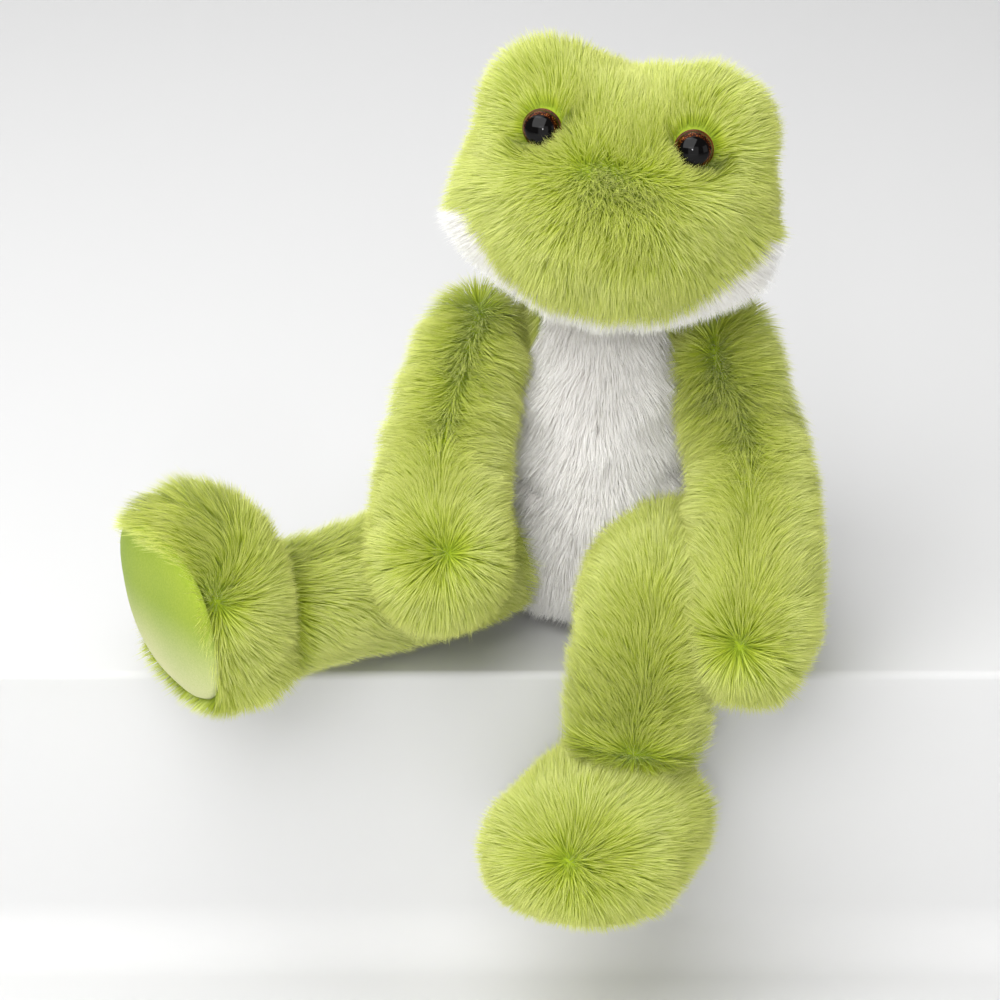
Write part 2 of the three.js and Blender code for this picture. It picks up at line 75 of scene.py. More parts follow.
# Head
HEAD_CENTRE = (6.0, -12.6133, 169.0)
HEAD_TURNS = (-14.0, 8.0, -6.0)
HEAD_HALF_WIDTH = 52.0
HEAD_HALF_DEPTH = 47.0
HEAD_TOP = 41.5
HEAD_BOTTOM = 46.0
HEAD_POWER = 2.4
BROW_BUMP = ((0.69, -0.22, 0.75), 12.4, 20.9)
CHEEK_BUMP = ((0.98, -0.2, -0.29), 8.4, 17.3)
MUZZLE_BUMP = ((0, -0.95, -0.28), 9.0, 32.3)
CHIN_BUMP = ((0, -0.5, -0.86), 2.0, 31.2)
BROW_SWELL = ((-0.8, -0.2, 0.58), 2.0, 12.0)
BROW_DIP = ((-0.3, -0.2, 0.93), -3.0, 14.0)
CHIN_DROP = 44.0
CHIN_RISE = 31.0
CHIN_HALF_WIDTH = 54.0
CHIN_REACHES = (-51.5, 62.0)
CHIN_POWER = 2.6
CHIN_BACK = 14.0
NOSE_AIM = (0.0, -1.0, 0.23)
NOSE_HALF_SPAN = (0.2, 0, 0)

# Eyes
EYE_DIAMETER = 13.0
EYE_DOME = 4.5
EYE_RIM = 1.0
EYE_SPREAD = 29.0
EYE_HEIGHT = 23.0
EYE_UPTURN = -0.1
EYE_OUTTURN = 0.15
EYE_SHIFTS = {"right": (-4.2, 0, -0.8), "left": (0, 0, 1.2)}
EYE_SINK = 2.2
EYE_COVERS = {"right": (0.5, -0.87), "left": (0.0, -1.0)}
EYE_RING_DIAMETER = 14.0
EYE_RING_THICKNESS = 0.8
EYE_RING_GAP = 0.3
EYE_BEVEL = 0.3
EYE_RING_BEVEL = 0.2
EYE_RING_LAP = 0.4
EYE_SHANK_RADII = (1.2, 2.2)
EYE_SHANK_LENGTH = 12
EYE_HOLE_RADIUS = 2.5
EYE_BEHIND = -16
WASHER_HUB_RADIUS = 3.5
WASHER_RADIUS = 5.5
WASHER_THICKNESS = 1.6
WASHER_HEIGHT = 4
WASHER_GAP = 0.5
CLOTH_BEHIND_EYE = 0.7
CLOTH_FLAT_REACH = 11

# Arms: a spine's places are shares of the arm's reach, from the shoulder
SHOULDER_HALF_SPAN = 42.0
SHOULDER_FORWARD = 2.0
SHOULDER_HEIGHTS = {"right": 109.0, "left": 103.0}
ARM_HALF_WIDTH = 24.5
ARM_REACH = 120.0
ARM_SWELL_SHARES = (0.65, 0.78, 0.84, 0.87, 0.93, 1, 0.98)
ARM_SPINE_SHARES = {
    "right": ((0, 0.05, 0.125), (-0.025, -0.05, 0.02), (-0.08, -0.2, -0.12), (-0.13, -0.39, -0.32),
              (-0.137, -0.56, -0.48), (-0.115, -0.73, -0.64)),
    "left": ((0, 0.05, 0.125), (0.015, -0.05, 0.03), (0.05, -0.2, -0.11), (0.092, -0.37, -0.27),
             (0.1, -0.54, -0.45), (0.064, -0.7, -0.625), (-0.022, -0.825, -0.775)),
}

# Legs
HIP_HALF_SPAN = 22.0
HIP_FORWARD = 12.0
HIP_HEIGHT = 29.0
LEG_HALF_WIDTH = 25.5
THIGH_LENGTH = 72.0
SHIN_LENGTH = 47.0
LEG_SWELL_SHARES = {
    "right": (0.66, 0.84, 0.96, 1, 1, 0.965, 0.955, 0.98, 1.02),
    "left": (0.86, 0.92, 0.97, 1, 1.01, 1.0, 0.99, 0.98, 0.99),
}
KNEE_FILLET = 26.0
HIP_ROUND = 14.0
ANKLE_ROUND = 12.0
ANKLE_REACH = 8.0
FOOT_LENGTH = 84.0
FOOT_HALF_WIDTH = 35.0
FOOT_HALF_DEPTH = 26.0
FOOT_FORWARD = 22.0
HEEL_BACK = 25.5
HEEL_ROUND = 19.0
FOOT_WIDTH_SHARES = (0.84, 0.94, 1, 0.99, 0.9)
FOOT_DEPTH_SHARES = (0.92, 1, 1, 0.96, 0.86)
FOOT_UNDER_SQUARENESS = 0.4
FOOT_UNDER_POWER = 2 / (1 - FOOT_UNDER_SQUARENESS)
FOOT_SETTLES = {"right": (2.0, 0, 2.0), "left": (-2.0, 0, -2.4)}
FOOT_ROLLS = {"right": 0.0, "left": -3.5}
HIP_SETTLES = {"right": (0, 0, 0), "left": (3.2, 0, 4.2)}
ANKLE_SETTLES = {"right": (0, 0, 0), "left": (4.0, 0, 0)}
SOLE_CUT = 10.0
SOLE_HALF_WIDTH = 32.5
SOLE_HALF_LENGTH = 32.3
SOLE_MIDDLE = 18.3
SOLE_POWER = 2.5
# Heights between which the sole's painted shade, under the toe's pile, gives way to its paler colours low
# down
SOLE_SHADE_TOP = 52.0
SOLE_SHADE_BOTTOM = 14.0
SOLE_DOME = 6.0
SOLE_DOME_POWER = 2.6
SOLE_LEVEL = -FOOT_FORWARD - FOOT_HALF_DEPTH + SOLE_CUT
SOLE_INSET = 3.0
SOLE_RIM_RISE = 1.0
SOLE_BACK_GAP = 0.4
LEG_LIES = {
    "right": {"splay": -57, "bend": 0, "lean": 0, "flex": 9, "twist": 4, "roll": 0},
    "left": {"splay": -4.5, "bend": 73, "lean": 12.5, "flex": 25, "twist": -25, "roll": 6},
}

# Fabric and pile: the cloth lies this far inside the furry surface, and the strands rise past it
CLOTH_DEPTH = 6.5
CLOTH_THICKNESS = 1.2
FILLING_DEPTH = 9.0
FILLING_LUMPS = 0.8
PILE_LENGTH = 12.6
STRAND_WIDTH = 0.24
STRANDS_PER_SQUARE_MM = 5.2
THINNED_SHARE = 0.76
STRAND_PLACES = np.array((0.0, 0.55, 1.0))
STRAND_WIDTH_SHARES = (1.0, 0.8)
STRAND_WIDTH_SCATTER = 0.25
STRAND_ROLL_SCATTER = 0.4
TIP_LEAN = 66
ROOT_LEAN_SHARE = 0.35
PARTING_STANDS = 8.0
PARTING_REACH = 5.0
THICK_REACH = 7.0
# How the pile varies: in waves over the cloth, and by each strand's own scatter. At a parting the
# strands' directions are tangled too
LENGTH_WAVES, LENGTH_SCATTER = 0.07, 0.12
LEAN_WAVES, LEAN_SCATTER = 4, 6
TURN_WAVES, TURN_SCATTER, TURN_TANGLE = 14.0, 9, 70.0
SHADE_WAVES, SHADE_SCATTER = 0.14, 0.14
# Clumps: their size, what is added to their seed and how far their strands draw together
CLUMPS = ((7.0, 3, 0.08), (2.0, 7, 0.18))
# Where a neighbour pushes the cloth away: degrees of lean for each millimetre, the most that counts,
# the share by which the pile is shortened, the push that shortens it in full, and the push past which
# none grows
PUSHED_LEAN, PUSHED_MOST, PUSHED_SHORTER, PUSHED_FULL, PUSHED_BARE = 3, 8, 0.35, 6, 12
UNDER_SHORTER = 0.35
ABOVE_SEAT = 0.4
BARE_ROUND_BODY = {"right": 9.0, "left": -4.0}
EYE_FUR_REACH = 7
EYE_FUR_SHORTER = 0.45
EYE_FUR_LEANS = (8, 34)
NOSE_REACH = 16
NOSE_SHORTER = 0.3
NOSE_STANDS = 14
FACE_DEPTH = -8
SEEDS = {"left_arm": 300, "right_arm": 400, "left_leg": 500, "right_leg": 600, "left_foot": 700,
         "right_foot": 800}

# Where the pile parts: shares of each limb's length, turns from its front in radians, and how open
# the parting is, from 0 to 1
PARTINGS = {
    "right_arm": ((0.0, 0.1, 0.0), (0.2, 0.06, 0.0), (0.31, 0.01, 0.6), (0.47, -0.05, 0.8),
                  (0.65, 0.0, 0.7), (0.74, -0.08, 0.2), (0.86, -0.19, 0.35)),
    "left_arm": ((0.0, 0.4, 0.0), (0.15, 0.42, 0.5), (0.29, 0.16, 0.2), (0.45, 0.13, 0.8),
                 (0.55, 0.23, 0.6), (0.66, 0.2, 0.05), (0.79, 0.1, 0.2), (0.91, 0.05, 0.35)),
    "right_leg": ((0.2, 0.3, 0.0), (0.9, 0.3, 0.0)),
    "left_leg": ((0.0, 0.1, 0.0), (0.3, 0.05, 0.1), (0.48, -0.12, 0.3), (0.65, -0.11, 0.3),
                 (0.72, -0.26, 0.2), (0.8, 0.0, 0.7), (0.9, -0.12, 0.4), (1.06, -0.1, 0.4)),
}
# How far the pile runs along a limb, at shares of its length: below 0 it runs up towards the body
COMBED_ALONG = {
    "right_arm": ((0.0, 0.5), (0.35, 0.3), (0.52, 0.0), (0.68, -0.9), (0.83, -0.8), (0.86, 0.0)),
    "left_arm": ((0.0, -0.6), (0.15, 0.0), (0.28, 0.8), (0.42, 0.4), (0.52, -0.3), (0.68, -1.1),
                 (0.88, -1.0), (0.91, 0.0)),
    "right_leg": ((0.0, -1.2), (1.0, -1.2)),
    "left_leg": ((0.0, -1.1), (1.0, -1.1)),
}
# The pile at the heel and at the toe leans over the sole's rim: how strongly, from how far along the
# foot on, within what length that sets in, and how far up from the sole
OVER_THE_HEEL = (3, 20, 12, 9)
OVER_THE_TOE = {"right": (2.2, 38, 10, 22), "left": (0, 38, 10, 22)}
WHORL_STANDS, WHORL_REACH = 0.55, 8
RIM_SHORTER, RIM_STANDS, RIM_REACHES = 0.2, 0.55, (0.2, 7)
FOOT_WHORLS = {"right": (34.1, -34.2, 27.9), "left": (8.3, -12.4, 55.6)}

# The stage: the seat's front edge, the drop below it and the cove behind
SEAT_EDGE = -63.0
SEAT_ROUNDING = 3.0
DROP = 115.0
DROP_SETBACK = 20
COVE_PLACE, COVE_RADIUS = 900, 400.0
FLOOR_REACHES = (-6000, 3000)
FLOOR_HALF_WIDTH = 4000.0
FLOOR_COLOUR = (0.72, 0.72, 0.72, 1)

# Camera
FOCAL_PIXELS = 3975.0
PICTURE_PIXELS = 1000.0
SENSOR = 36.0
CAMERA_PLACE = (-36.98, -1355.1, 644.2)
CAMERA_TARGET = (-36.98, 15.19, 34.13)

# Lights: each one's name, place, size in metres and power in watts, all aimed at one point
LIGHTS_AIM = (0, -40, 90)
LIGHTS = (("key", (-480, -880, 1150), 1.5, 23.5), ("front", (-150, -1500, 500), 0.12, 2.0),
          ("fill", (-60, -1500, 240), 1.2, 4.5), ("top", (-260, 300, 1200), 1.4, 10),
          ("side", (1200, -800, 400), 0.7, 1.5))
WORLD_STRENGTH = 0.2


def unit(vectors):
    """Each vector divided by its length."""
    vectors = np.asarray(vectors, float)
    return vectors / np.maximum(np.linalg.norm(vectors, axis=-1, keepdims=True), 1e-9)


def turned(axis, degrees):
    """A turn about an axis, as a 4 by 4 matrix."""
    return np.array(Matrix.Rotation(np.radians(degrees), 4, axis))


def moved(place):
    """A move to a place, as a 4 by 4 matrix."""
    return np.array(Matrix.Translation(Vector(place)))


def placed(matrix, points):
    """Points carried by a 4 by 4 matrix."""
    return points @ matrix[:3, :3].T + matrix[:3, 3]


def smooth_value(values, t):
    """A smooth curve through equally spaced values, read at t from 0 to 1: on each stretch the cubic
    whose slopes at its ends are half the difference of the values on either side."""
    values = np.asarray(values, float)
    last = len(values) - 1
    place = np.clip(t, 0, 1) * last
    i = np.minimum(np.floor(place).astype(int), last - 1)
    u = place - i
    a, b = values[np.maximum(i - 1, 0)], values[i]
    c, d = values[i + 1], values[np.minimum(i + 2, last)]
    slope_in, slope_out, rise = (c - a) / 2, (d - b) / 2, c - b
    return b + u * (slope_in + u * (3 * rise - 2 * slope_in - slope_out
                                    + u * (slope_in + slope_out - 2 * rise)))


def waves(points, wavelength, seed, count=7):
    """Smooth noise from about -1 to 1: the sum of sine waves along directions spread at random."""
    own = np.random.default_rng(seed)
    directions = unit(own.normal(size=(count, 3)))
    lengths = wavelength * own.uniform(0.7, 1.5, count)
    phases = own.uniform(0, 2 * np.pi, count)
    return np.sin(2 * np.pi * (points @ directions.T) / lengths + phases).sum(1) / np.sqrt(count)


def bends(points, wavelength, seed):
    """Smooth noise in each direction."""
    return np.stack([waves(points, wavelength, seed + i) for i in range(3)], -1)


# Forms

def catmull_rom(points, steps=40):
    """A curve through points: the centripetal Catmull-Rom spline, whose knots are spaced by the
    square roots of the distances, with the ends carried on straight."""
    points = np.asarray(points, float)
    points = np.vstack([2 * points[0] - points[1], points, 2 * points[-1] - points[-2]])
    u = np.linspace(0, 1, steps, endpoint=False)[:, None]
    runs = []
    for p0, p1, p2, p3 in zip(points, points[1:], points[2:], points[3:]):
        d0, d1, d2 = (np.sqrt(np.linalg.norm(b - a)) for a, b in ((p0, p1), (p1, p2), (p2, p3)))
        m1 = ((p1 - p0) / d0 - (p2 - p0) / (d0 + d1) + (p2 - p1) / d1) * d1
        m2 = ((p2 - p1) / d1 - (p3 - p1) / (d1 + d2) + (p3 - p2) / d2) * d1
        rise = p2 - p1
        runs.append(p1 + u * (m1 + u * (3 * rise - 2 * m1 - m2 + u * (m1 + m2 - 2 * rise))))
    return np.vstack(runs + [points[-2:-1]])


def filleted(start, corner, end, radius, steps=24):
    """The path from start to end by way of a corner that is rounded by an arc."""
    start, corner, end = (np.asarray(p, float) for p in (start, corner, end))
    into, out = unit(corner - start), unit(end - corner)
    turn = np.arccos(np.clip(into @ out, -1, 1))
    if turn < 1e-3:
        return np.linspace(start, end, 3 * steps)
    back = radius * np.tan(turn / 2)
    side = unit(out - into * (into @ out))
    angles = np.linspace(0, turn, steps)[:, None]
    arc = corner - into * back + radius * (into * np.sin(angles) + side * (1 - np.cos(angles)))
    return np.vstack([np.linspace(start, arc[0], steps)[:-1], arc, np.linspace(arc[-1], end, steps)[1:]])


class SoftForm:
    """A stuffed form: an oval section that swells and tapers along a path, with round ends."""

    def __init__(self, path, half_width, half_depth, width_shares, depth_shares, rounds, place,
                 under_power=2.0):
        self.path = path
        run = np.concatenate([[0], np.cumsum(np.linalg.norm(np.diff(path, axis=0), axis=1))])
        self.length = run[-1]
        self.shares = run / run[-1]
        self.tangents = unit(np.gradient(path, run, axis=0))
        self.half_width, self.half_depth = half_width, half_depth
        self.width_shares, self.depth_shares = width_shares, depth_shares
        self.start_round, self.end_round = rounds
        self.place = place
        self.under_power = under_power

    def frame(self, t):
        """Centre, tangent, across and up at shares t of the path's length."""
        centre = np.stack([np.interp(t, self.shares, self.path[:, i]) for i in range(3)], -1)
        tangent = unit(np.stack([np.interp(t, self.shares, self.tangents[:, i]) for i in range(3)], -1))
        across = unit(np.array((1.0, 0, 0)) - tangent * tangent[..., :1])
        return centre, tangent, across, np.cross(tangent, across)

    def radii(self, t, grow):
        """Half the width and half the depth at shares t: each is the form's own times a smooth curve
        through its shares, plus what the form is grown by."""
        width = self.half_width * smooth_value(self.width_shares, t) + grow
        depth = self.half_depth * smooth_value(self.depth_shares, t) + grow
        return width, depth

    def point(self, t, turn, grow=0.0, opening=1.0, lean=0.0):
        """The surface at a share t of the length and an angle turn round the section: the centre plus
        across times width times cosine plus up times depth times sine. On the underside both are
        raised to a power that squares off the oval. A cap leans out along the path."""
        t, turn, lean = np.broadcast_arrays(np.asarray(t, float), turn, lean)
        centre, tangent, across, up = self.frame(t)
        width, depth = self.radii(t, grow)
        power = 2 / np.where(np.sin(turn) < 0, self.under_power, 2.0)
        cosine = np.sign(np.cos(turn)) * np.abs(np.cos(turn)) ** power
        sine = np.sign(np.sin(turn)) * np.abs(np.sin(turn)) ** power
        side = (width * opening * cosine)[..., None] * across
        rise = (depth * opening * sine)[..., None] * up
        return placed(self.place, centre + tangent * (lean * grow)[..., None] + side + rise)

    def run(self, points):
        """The share of the length that each point lies beside, and the path's direction there."""
        local = placed(np.linalg.inv(self.place), points)
        t = np.linspace(0, 1, 60)
        spots, tangents = self.frame(t)[:2]
        nearest = np.argmin(((local[:, None] - spots) ** 2).sum(-1), axis=1)
        return t[nearest], tangents[nearest] @ self.place[:3, :3].T

    def grid(self, grow, around=72, along=54, cap=10):
        """The whole closed surface: round caps whose opening is the sine of an angle, and between them
        the full sections."""
        angle = np.linspace(0, np.pi / 2, cap + 1)[:-1]
        first, last = self.start_round / self.length, self.end_round / self.length
        start = first * (1 - np.cos(angle))
        middle = np.linspace(first, 1 - last, along)
        end = 1 - last * (1 - np.cos(angle[::-1]))
        t = np.concatenate([start, middle, end])[:, None]
        opening = np.concatenate([np.sin(angle), np.ones(along), np.sin(angle[::-1])])[:, None]
        lean = np.concatenate([-np.cos(angle), np.zeros(along), np.cos(angle[::-1])])[:, None]
        turn = np.linspace(0, 2 * np.pi, around, endpoint=False)[None, :]
        return self.point(t, turn, grow, opening, lean)

    def depth(self, points, grow=0.0, steps=48):
        """How far into the form points lie, as a share: below 1 inside, 1 on the surface. Also the
        anchor on the path that each point is measured from."""
        local = placed(np.linalg.inv(self.place), points)
        t = np.linspace(self.start_round / self.length, 1 - self.end_round / self.length, steps)
        spots = self.frame(t)[0]
        nearest = np.argmin(((local[:, None] - spots) ** 2).sum(-1), axis=1)
        t = t[nearest]
        centre, tangent, across, up = self.frame(t)
        width, depth = self.radii(t, grow)
        offset = local - centre
        axial = (offset * tangent).sum(-1)
        first, last = nearest == 0, nearest == steps - 1
        cap = np.where(first, self.start_round, self.end_round) + grow
        past = np.where(first & (axial < 0) | last & (axial > 0), axial / cap, 0)
        rise = (offset * up).sum(-1) / depth
        power = np.where(rise < 0, self.under_power, 2.0)
        side = (offset * across).sum(-1) / width
        section = (np.abs(side) ** power + np.abs(rise) ** power) ** (1 / power)
        return np.hypot(section, past), placed(self.place, centre)


def head_radius(directions):
    """A squared-off ellipsoid plus a smooth rise at each bump, which dies away with the angle."""
    x, y, z = np.moveaxis(directions, -1, 0)
    height = np.where(z > 0, HEAD_TOP, HEAD_BOTTOM)
    total = (np.abs(x / HEAD_HALF_WIDTH) ** HEAD_POWER + np.abs(y / HEAD_HALF_DEPTH) ** HEAD_POWER
             + np.abs(z / height) ** HEAD_POWER)
    radius = total ** (-1 / HEAD_POWER)
    mirrored = np.stack([np.abs(x), y, z], -1)
    for (aim, rise, reach), toward in ((BROW_BUMP, mirrored), (CHEEK_BUMP, mirrored),
                                       (MUZZLE_BUMP, directions), (CHIN_BUMP, directions),
                                       (BROW_SWELL, directions), (BROW_DIP, directions)):
        angle = np.arccos(np.clip(toward @ unit(aim), -1, 1))
        radius = radius + rise * np.exp(-(angle * HEAD_HALF_WIDTH / reach) ** 2)
    return radius


class HeadForm:
    """The head: a radius for each direction from its centre."""

    def __init__(self):
        pitch, roll, yaw = HEAD_TURNS
        self.place = moved(HEAD_CENTRE) @ turned("Z", yaw) @ turned("X", pitch) @ turned("Y", roll)

    def point(self, directions, grow=0.0):
        """The surface in given directions: the centre plus each direction times its radius."""
        directions = unit(directions)
        return placed(self.place, directions * (head_radius(directions) + grow)[..., None])

    def grid(self, grow, around=108, up=80):
        """The whole surface: directions round the azimuth on circles from the lower pole to the
        upper."""
        polar = np.linspace(0, np.pi, up)[::-1, None]
        azimuth = np.linspace(0, 2 * np.pi, around, endpoint=False)[None, :]
        directions = np.stack([np.sin(polar) * np.cos(azimuth), np.sin(polar) * np.sin(azimuth),
                               np.cos(polar) + 0 * azimuth], -1)
        return self.point(directions, grow)

    def local(self, points):
        """Points as the head's own frame has them."""
        return placed(np.linalg.inv(self.place), points)

    def depth(self, points, grow=0.0):
        """How far into the head points lie: the distance from its centre as a share of the radius
        that way. The centre is the anchor."""
        local = self.local(points)
        distance = np.linalg.norm(local, axis=-1)
        share = distance / (head_radius(local / distance[:, None]) + grow)
        return share, np.broadcast_to(self.place[:3, 3], points.shape)


def pushed_out(points, neighbours, least=0.08):
    """Points that lie inside a neighbour's form are carried straight out to its surface. Each
    neighbour is a form and how far it is grown. Also how far each point went."""
    start = points
    for form, grow in neighbours:
        share, anchor = form.depth(points, grow)
        inside = share < 1
        factor = np.where(inside, 1 / np.maximum(share, least), 1)[:, None]
        points = np.where(inside[:, None], anchor + (points - anchor) * factor, points)
    return points, np.linalg.norm(points - start, axis=-1)


head = HeadForm()
torso = SoftForm(
    catmull_rom([(0, -TORSO_LEAN * share, TORSO_HEIGHT * i / (len(TORSO_LEAN_SHARES) - 1))
                 for i, share in enumerate(TORSO_LEAN_SHARES)]),
    TORSO_HALF_WIDTH, TORSO_HALF_DEPTH, TORSO_WIDTH_SHARES, TORSO_DEPTH_SHARES,
    (SEAT_ROUND, NECK_ROUND), np.eye(4))


def leg_places(side):
    """The frames of the thigh, the shin and the foot: each limb runs along its own -Y."""
    lie = LEG_LIES[side]
    sign = SIGNS[side]
    thigh = moved((sign * HIP_HALF_SPAN, -HIP_FORWARD, HIP_HEIGHT)) @ turned("Z", lie["splay"])
    shin = thigh @ moved((0, -THIGH_LENGTH, 0)) @ turned("Y", lie["lean"]) @ turned("X", lie["bend"])
    foot = (shin @ moved((0, -SHIN_LENGTH, 0)) @ turned("Y", lie["twist"]) @ turned("X", lie["flex"])
            @ turned("Z", lie["roll"]))
    return thigh, shin, foot


def leg_form(side):
    """A leg as one tube: straight from the settled hip to the knee and on to the settled ankle, with
    the corner at the knee rounded by an arc."""
    thigh, _, foot = leg_places(side)
    inverse = np.linalg.inv(thigh)
    hip = placed(inverse, thigh[:3, 3] + HIP_SETTLES[side])
    ankle = placed(inverse, foot[:3, 3] + ANKLE_SETTLES[side])
    ankle = ankle + ANKLE_REACH * unit(ankle - (0, -THIGH_LENGTH, 0))
    path = filleted(hip, (0, -THIGH_LENGTH, 0), ankle, KNEE_FILLET)
    shares = LEG_SWELL_SHARES[side]
    return SoftForm(path, LEG_HALF_WIDTH, LEG_HALF_WIDTH, shares, shares, (HIP_ROUND, ANKLE_ROUND), thigh)


def foot_form(side):
    """A foot as a straight tube from heel to toe, rolled and settled about its own middle."""
    middle = placed(leg_places(side)[2], np.array((0, -FOOT_FORWARD, FOOT_LENGTH / 2 - HEEL_BACK)))
    settled = moved(middle + FOOT_SETTLES[side]) @ turned("Y", FOOT_ROLLS[side]) @ moved(-middle)
    path = np.linspace((0, -FOOT_FORWARD, -HEEL_BACK), (0, -FOOT_FORWARD, FOOT_LENGTH - HEEL_BACK), 60)
    return SoftForm(path, FOOT_HALF_WIDTH, FOOT_HALF_DEPTH, FOOT_WIDTH_SHARES, FOOT_DEPTH_SHARES,
                    (HEEL_ROUND, FOOT_HALF_DEPTH), settled @ leg_places(side)[2], FOOT_UNDER_POWER)


def arm_form(side):
    """An arm as a tube along the curve through its spine's points."""
    sign = SIGNS[side]
    place = moved((sign * SHOULDER_HALF_SPAN, -SHOULDER_FORWARD, SHOULDER_HEIGHTS[side]))
    path = catmull_rom(np.array(ARM_SPINE_SHARES[side]) * ARM_REACH)
    return SoftForm(path, ARM_HALF_WIDTH, ARM_HALF_WIDTH, ARM_SWELL_SHARES, ARM_SWELL_SHARES,
                    (ARM_HALF_WIDTH * ARM_SWELL_SHARES[0], ARM_HALF_WIDTH), place)


legs = {side: leg_form(side) for side in SIGNS}
feet = {side: foot_form(side) for side in SIGNS}
arms = {side: arm_form(side) for side in SIGNS}


# Meshes

def grid_faces(rows, columns):
    """Quads of a grid that closes round its columns, facing out for a section that turns from across
    to up along the path."""
    row, column = np.meshgrid(np.arange(rows - 1), np.arange(columns), indexing="ij")
    beside = (column + 1) % columns
    faces = np.stack([row * columns + column, row * columns + beside,
                      (row + 1) * columns + beside, (row + 1) * columns + column], -1)
    return faces.reshape(-1, 4)


def new_object(name, points, corners, sizes, material, uv=None):
    """A mesh from points in millimetres, its faces' corners in one run and each face's corner count."""
    mesh = bpy.data.meshes.new(name)
    mesh.vertices.add(len(points))
    mesh.vertices.foreach_set("co", (np.asarray(points) * MM).astype(np.float32).ravel())
    mesh.loops.add(len(corners))
    mesh.loops.foreach_set("vertex_index", np.asarray(corners, np.int32))
    starts = np.concatenate([[0], np.cumsum(sizes)[:-1]])
    mesh.polygons.add(len(sizes))
    mesh.polygons.foreach_set("loop_start", starts.astype(np.int32))
    mesh.polygons.foreach_set("use_smooth", np.full(len(sizes), True))
    if uv is not None:
        layer = mesh.uv_layers.new(name="OFBake")
        layer.uv.foreach_set("vector", uv.astype(np.float32).ravel())
    mesh.update(calc_edges=True)
    mesh.materials.append(material)
    result = bpy.data.objects.new(name, mesh)
    bpy.context.scene.collection.objects.link(result)
    return result


def quad_object(name, points, faces, material, uv=None):
    """A mesh of quads alone."""
    return new_object(name, points, faces.ravel(), np.full(len(faces), 4), material, uv)


def vertex_normals(points, faces):
    """The mean of the faces' normals round each point, weighted by their areas."""
    a, b, c, d = (points[faces[:, i]] for i in range(4))
    normals = np.cross(c - a, d - b)
    total = np.stack([np.bincount(faces.ravel(), np.repeat(normals[:, i], 4), len(points))
                      for i in range(3)], -1)
    return unit(total)


class Skin:
    """A piece's cloth: a grid of points on its form, pushed out of its neighbours, with normals."""

    def __init__(self, form, neighbours=(), grow=-CLOTH_DEPTH, shape=None, **counts):
        grid = form.grid(grow, **counts)
        rows, columns = grid.shape[:2]
        points = grid.reshape(-1, 3)
        if shape:
            points = shape(points)
        self.points, self.went = pushed_out(points, neighbours)
        self.faces = grid_faces(rows, columns)
        self.normals = vertex_normals(self.points, self.faces)

    def part(self, keep=None):
        """The points and faces whose middles pass keep."""
        faces = self.faces
        if keep is not None:
            faces = faces[keep(self.points[faces].mean(1))]
        used, renumbered = np.unique(faces, return_inverse=True)
        return self.points[used], renumbered.reshape(faces.shape)

    def scattered(self, density):
        """Places spread evenly at random over the cloth, with the normal at each and how far the
        cloth was pushed there: a face is picked by its area, and a place in it by two random shares."""
        a, b, c, d = (self.points[self.faces[:, i]] for i in range(4))
        areas = np.linalg.norm(np.cross(c - a, d - b), axis=1) / 2
        total = np.cumsum(areas)
        count = int(total[-1] * density)
        picked = np.searchsorted(total, (np.arange(count) + rng.random(count)) / count * total[-1])
        faces = self.faces[np.minimum(picked, len(areas) - 1)]
        u, v = rng.random((2, count))
        weights = np.stack([(1 - u) * (1 - v), u * (1 - v), u * v, (1 - u) * v], 1)
        mix = lambda values: (values[faces] * weights.reshape(count, 4, *[1] * (values.ndim - 1))).sum(1)
        return mix(self.points), unit(mix(self.normals)), mix(self.went)


def cloth_piece(name, skin, material, keep=None):
    """A skin's grid, or its faces that pass keep, with the cloth's thickness set inwards from it."""
    points, faces = skin.part(keep)
    piece = quad_object(name, points, faces, material)
    wall = piece.modifiers.new("wall", "SOLIDIFY")
    wall.thickness = CLOTH_THICKNESS * MM
    wall.offset = -1
    return piece


# Pile

def clump_shares(roots, size, seed):
    """A number for each root's clump: cells of a lattice that smooth noise bends out of line."""
    bent = roots + size * bends(roots, 5 * size, seed)
    cells = np.floor(bent / size).astype(np.int64)
    _, number = np.unique(cells @ np.array((73856093, 19349663, 83492791)), return_inverse=True)
    return number


def drawn_together(paths, number, pull):
    """Strands of one clump lean towards the clump's mean strand, more towards their tips."""
    count = np.bincount(number)[:, None, None]
    flat = paths.reshape(len(paths), -1)
    mean = np.stack([np.bincount(number, flat[:, i]) for i in range(flat.shape[1])], 1)
    mean = mean.reshape(-1, *paths.shape[1:]) / count
    share = (pull * STRAND_PLACES ** 1.5)[None, :, None]
    return paths + share * (mean[number] - paths)


def strand_paths(roots, normals, comb, length, lean_root, lean_tip):
    """Each strand bends over from its root's lean to its tip's lean, in degrees from the normal: its
    height is the integral of the cosine along it, and its run along the comb that of the sine."""
    first = np.radians(lean_root)[:, None]
    change = np.radians(lean_tip - lean_root)[:, None] + 1e-4
    angle = first + change * STRAND_PLACES
    rise = (np.sin(angle) - np.sin(first)) / change
    run = (np.cos(first) - np.cos(angle)) / change
    step = length[:, None, None] * (rise[..., None] * normals[:, None] + run[..., None] * comb[:, None])
    return roots[:, None] + step


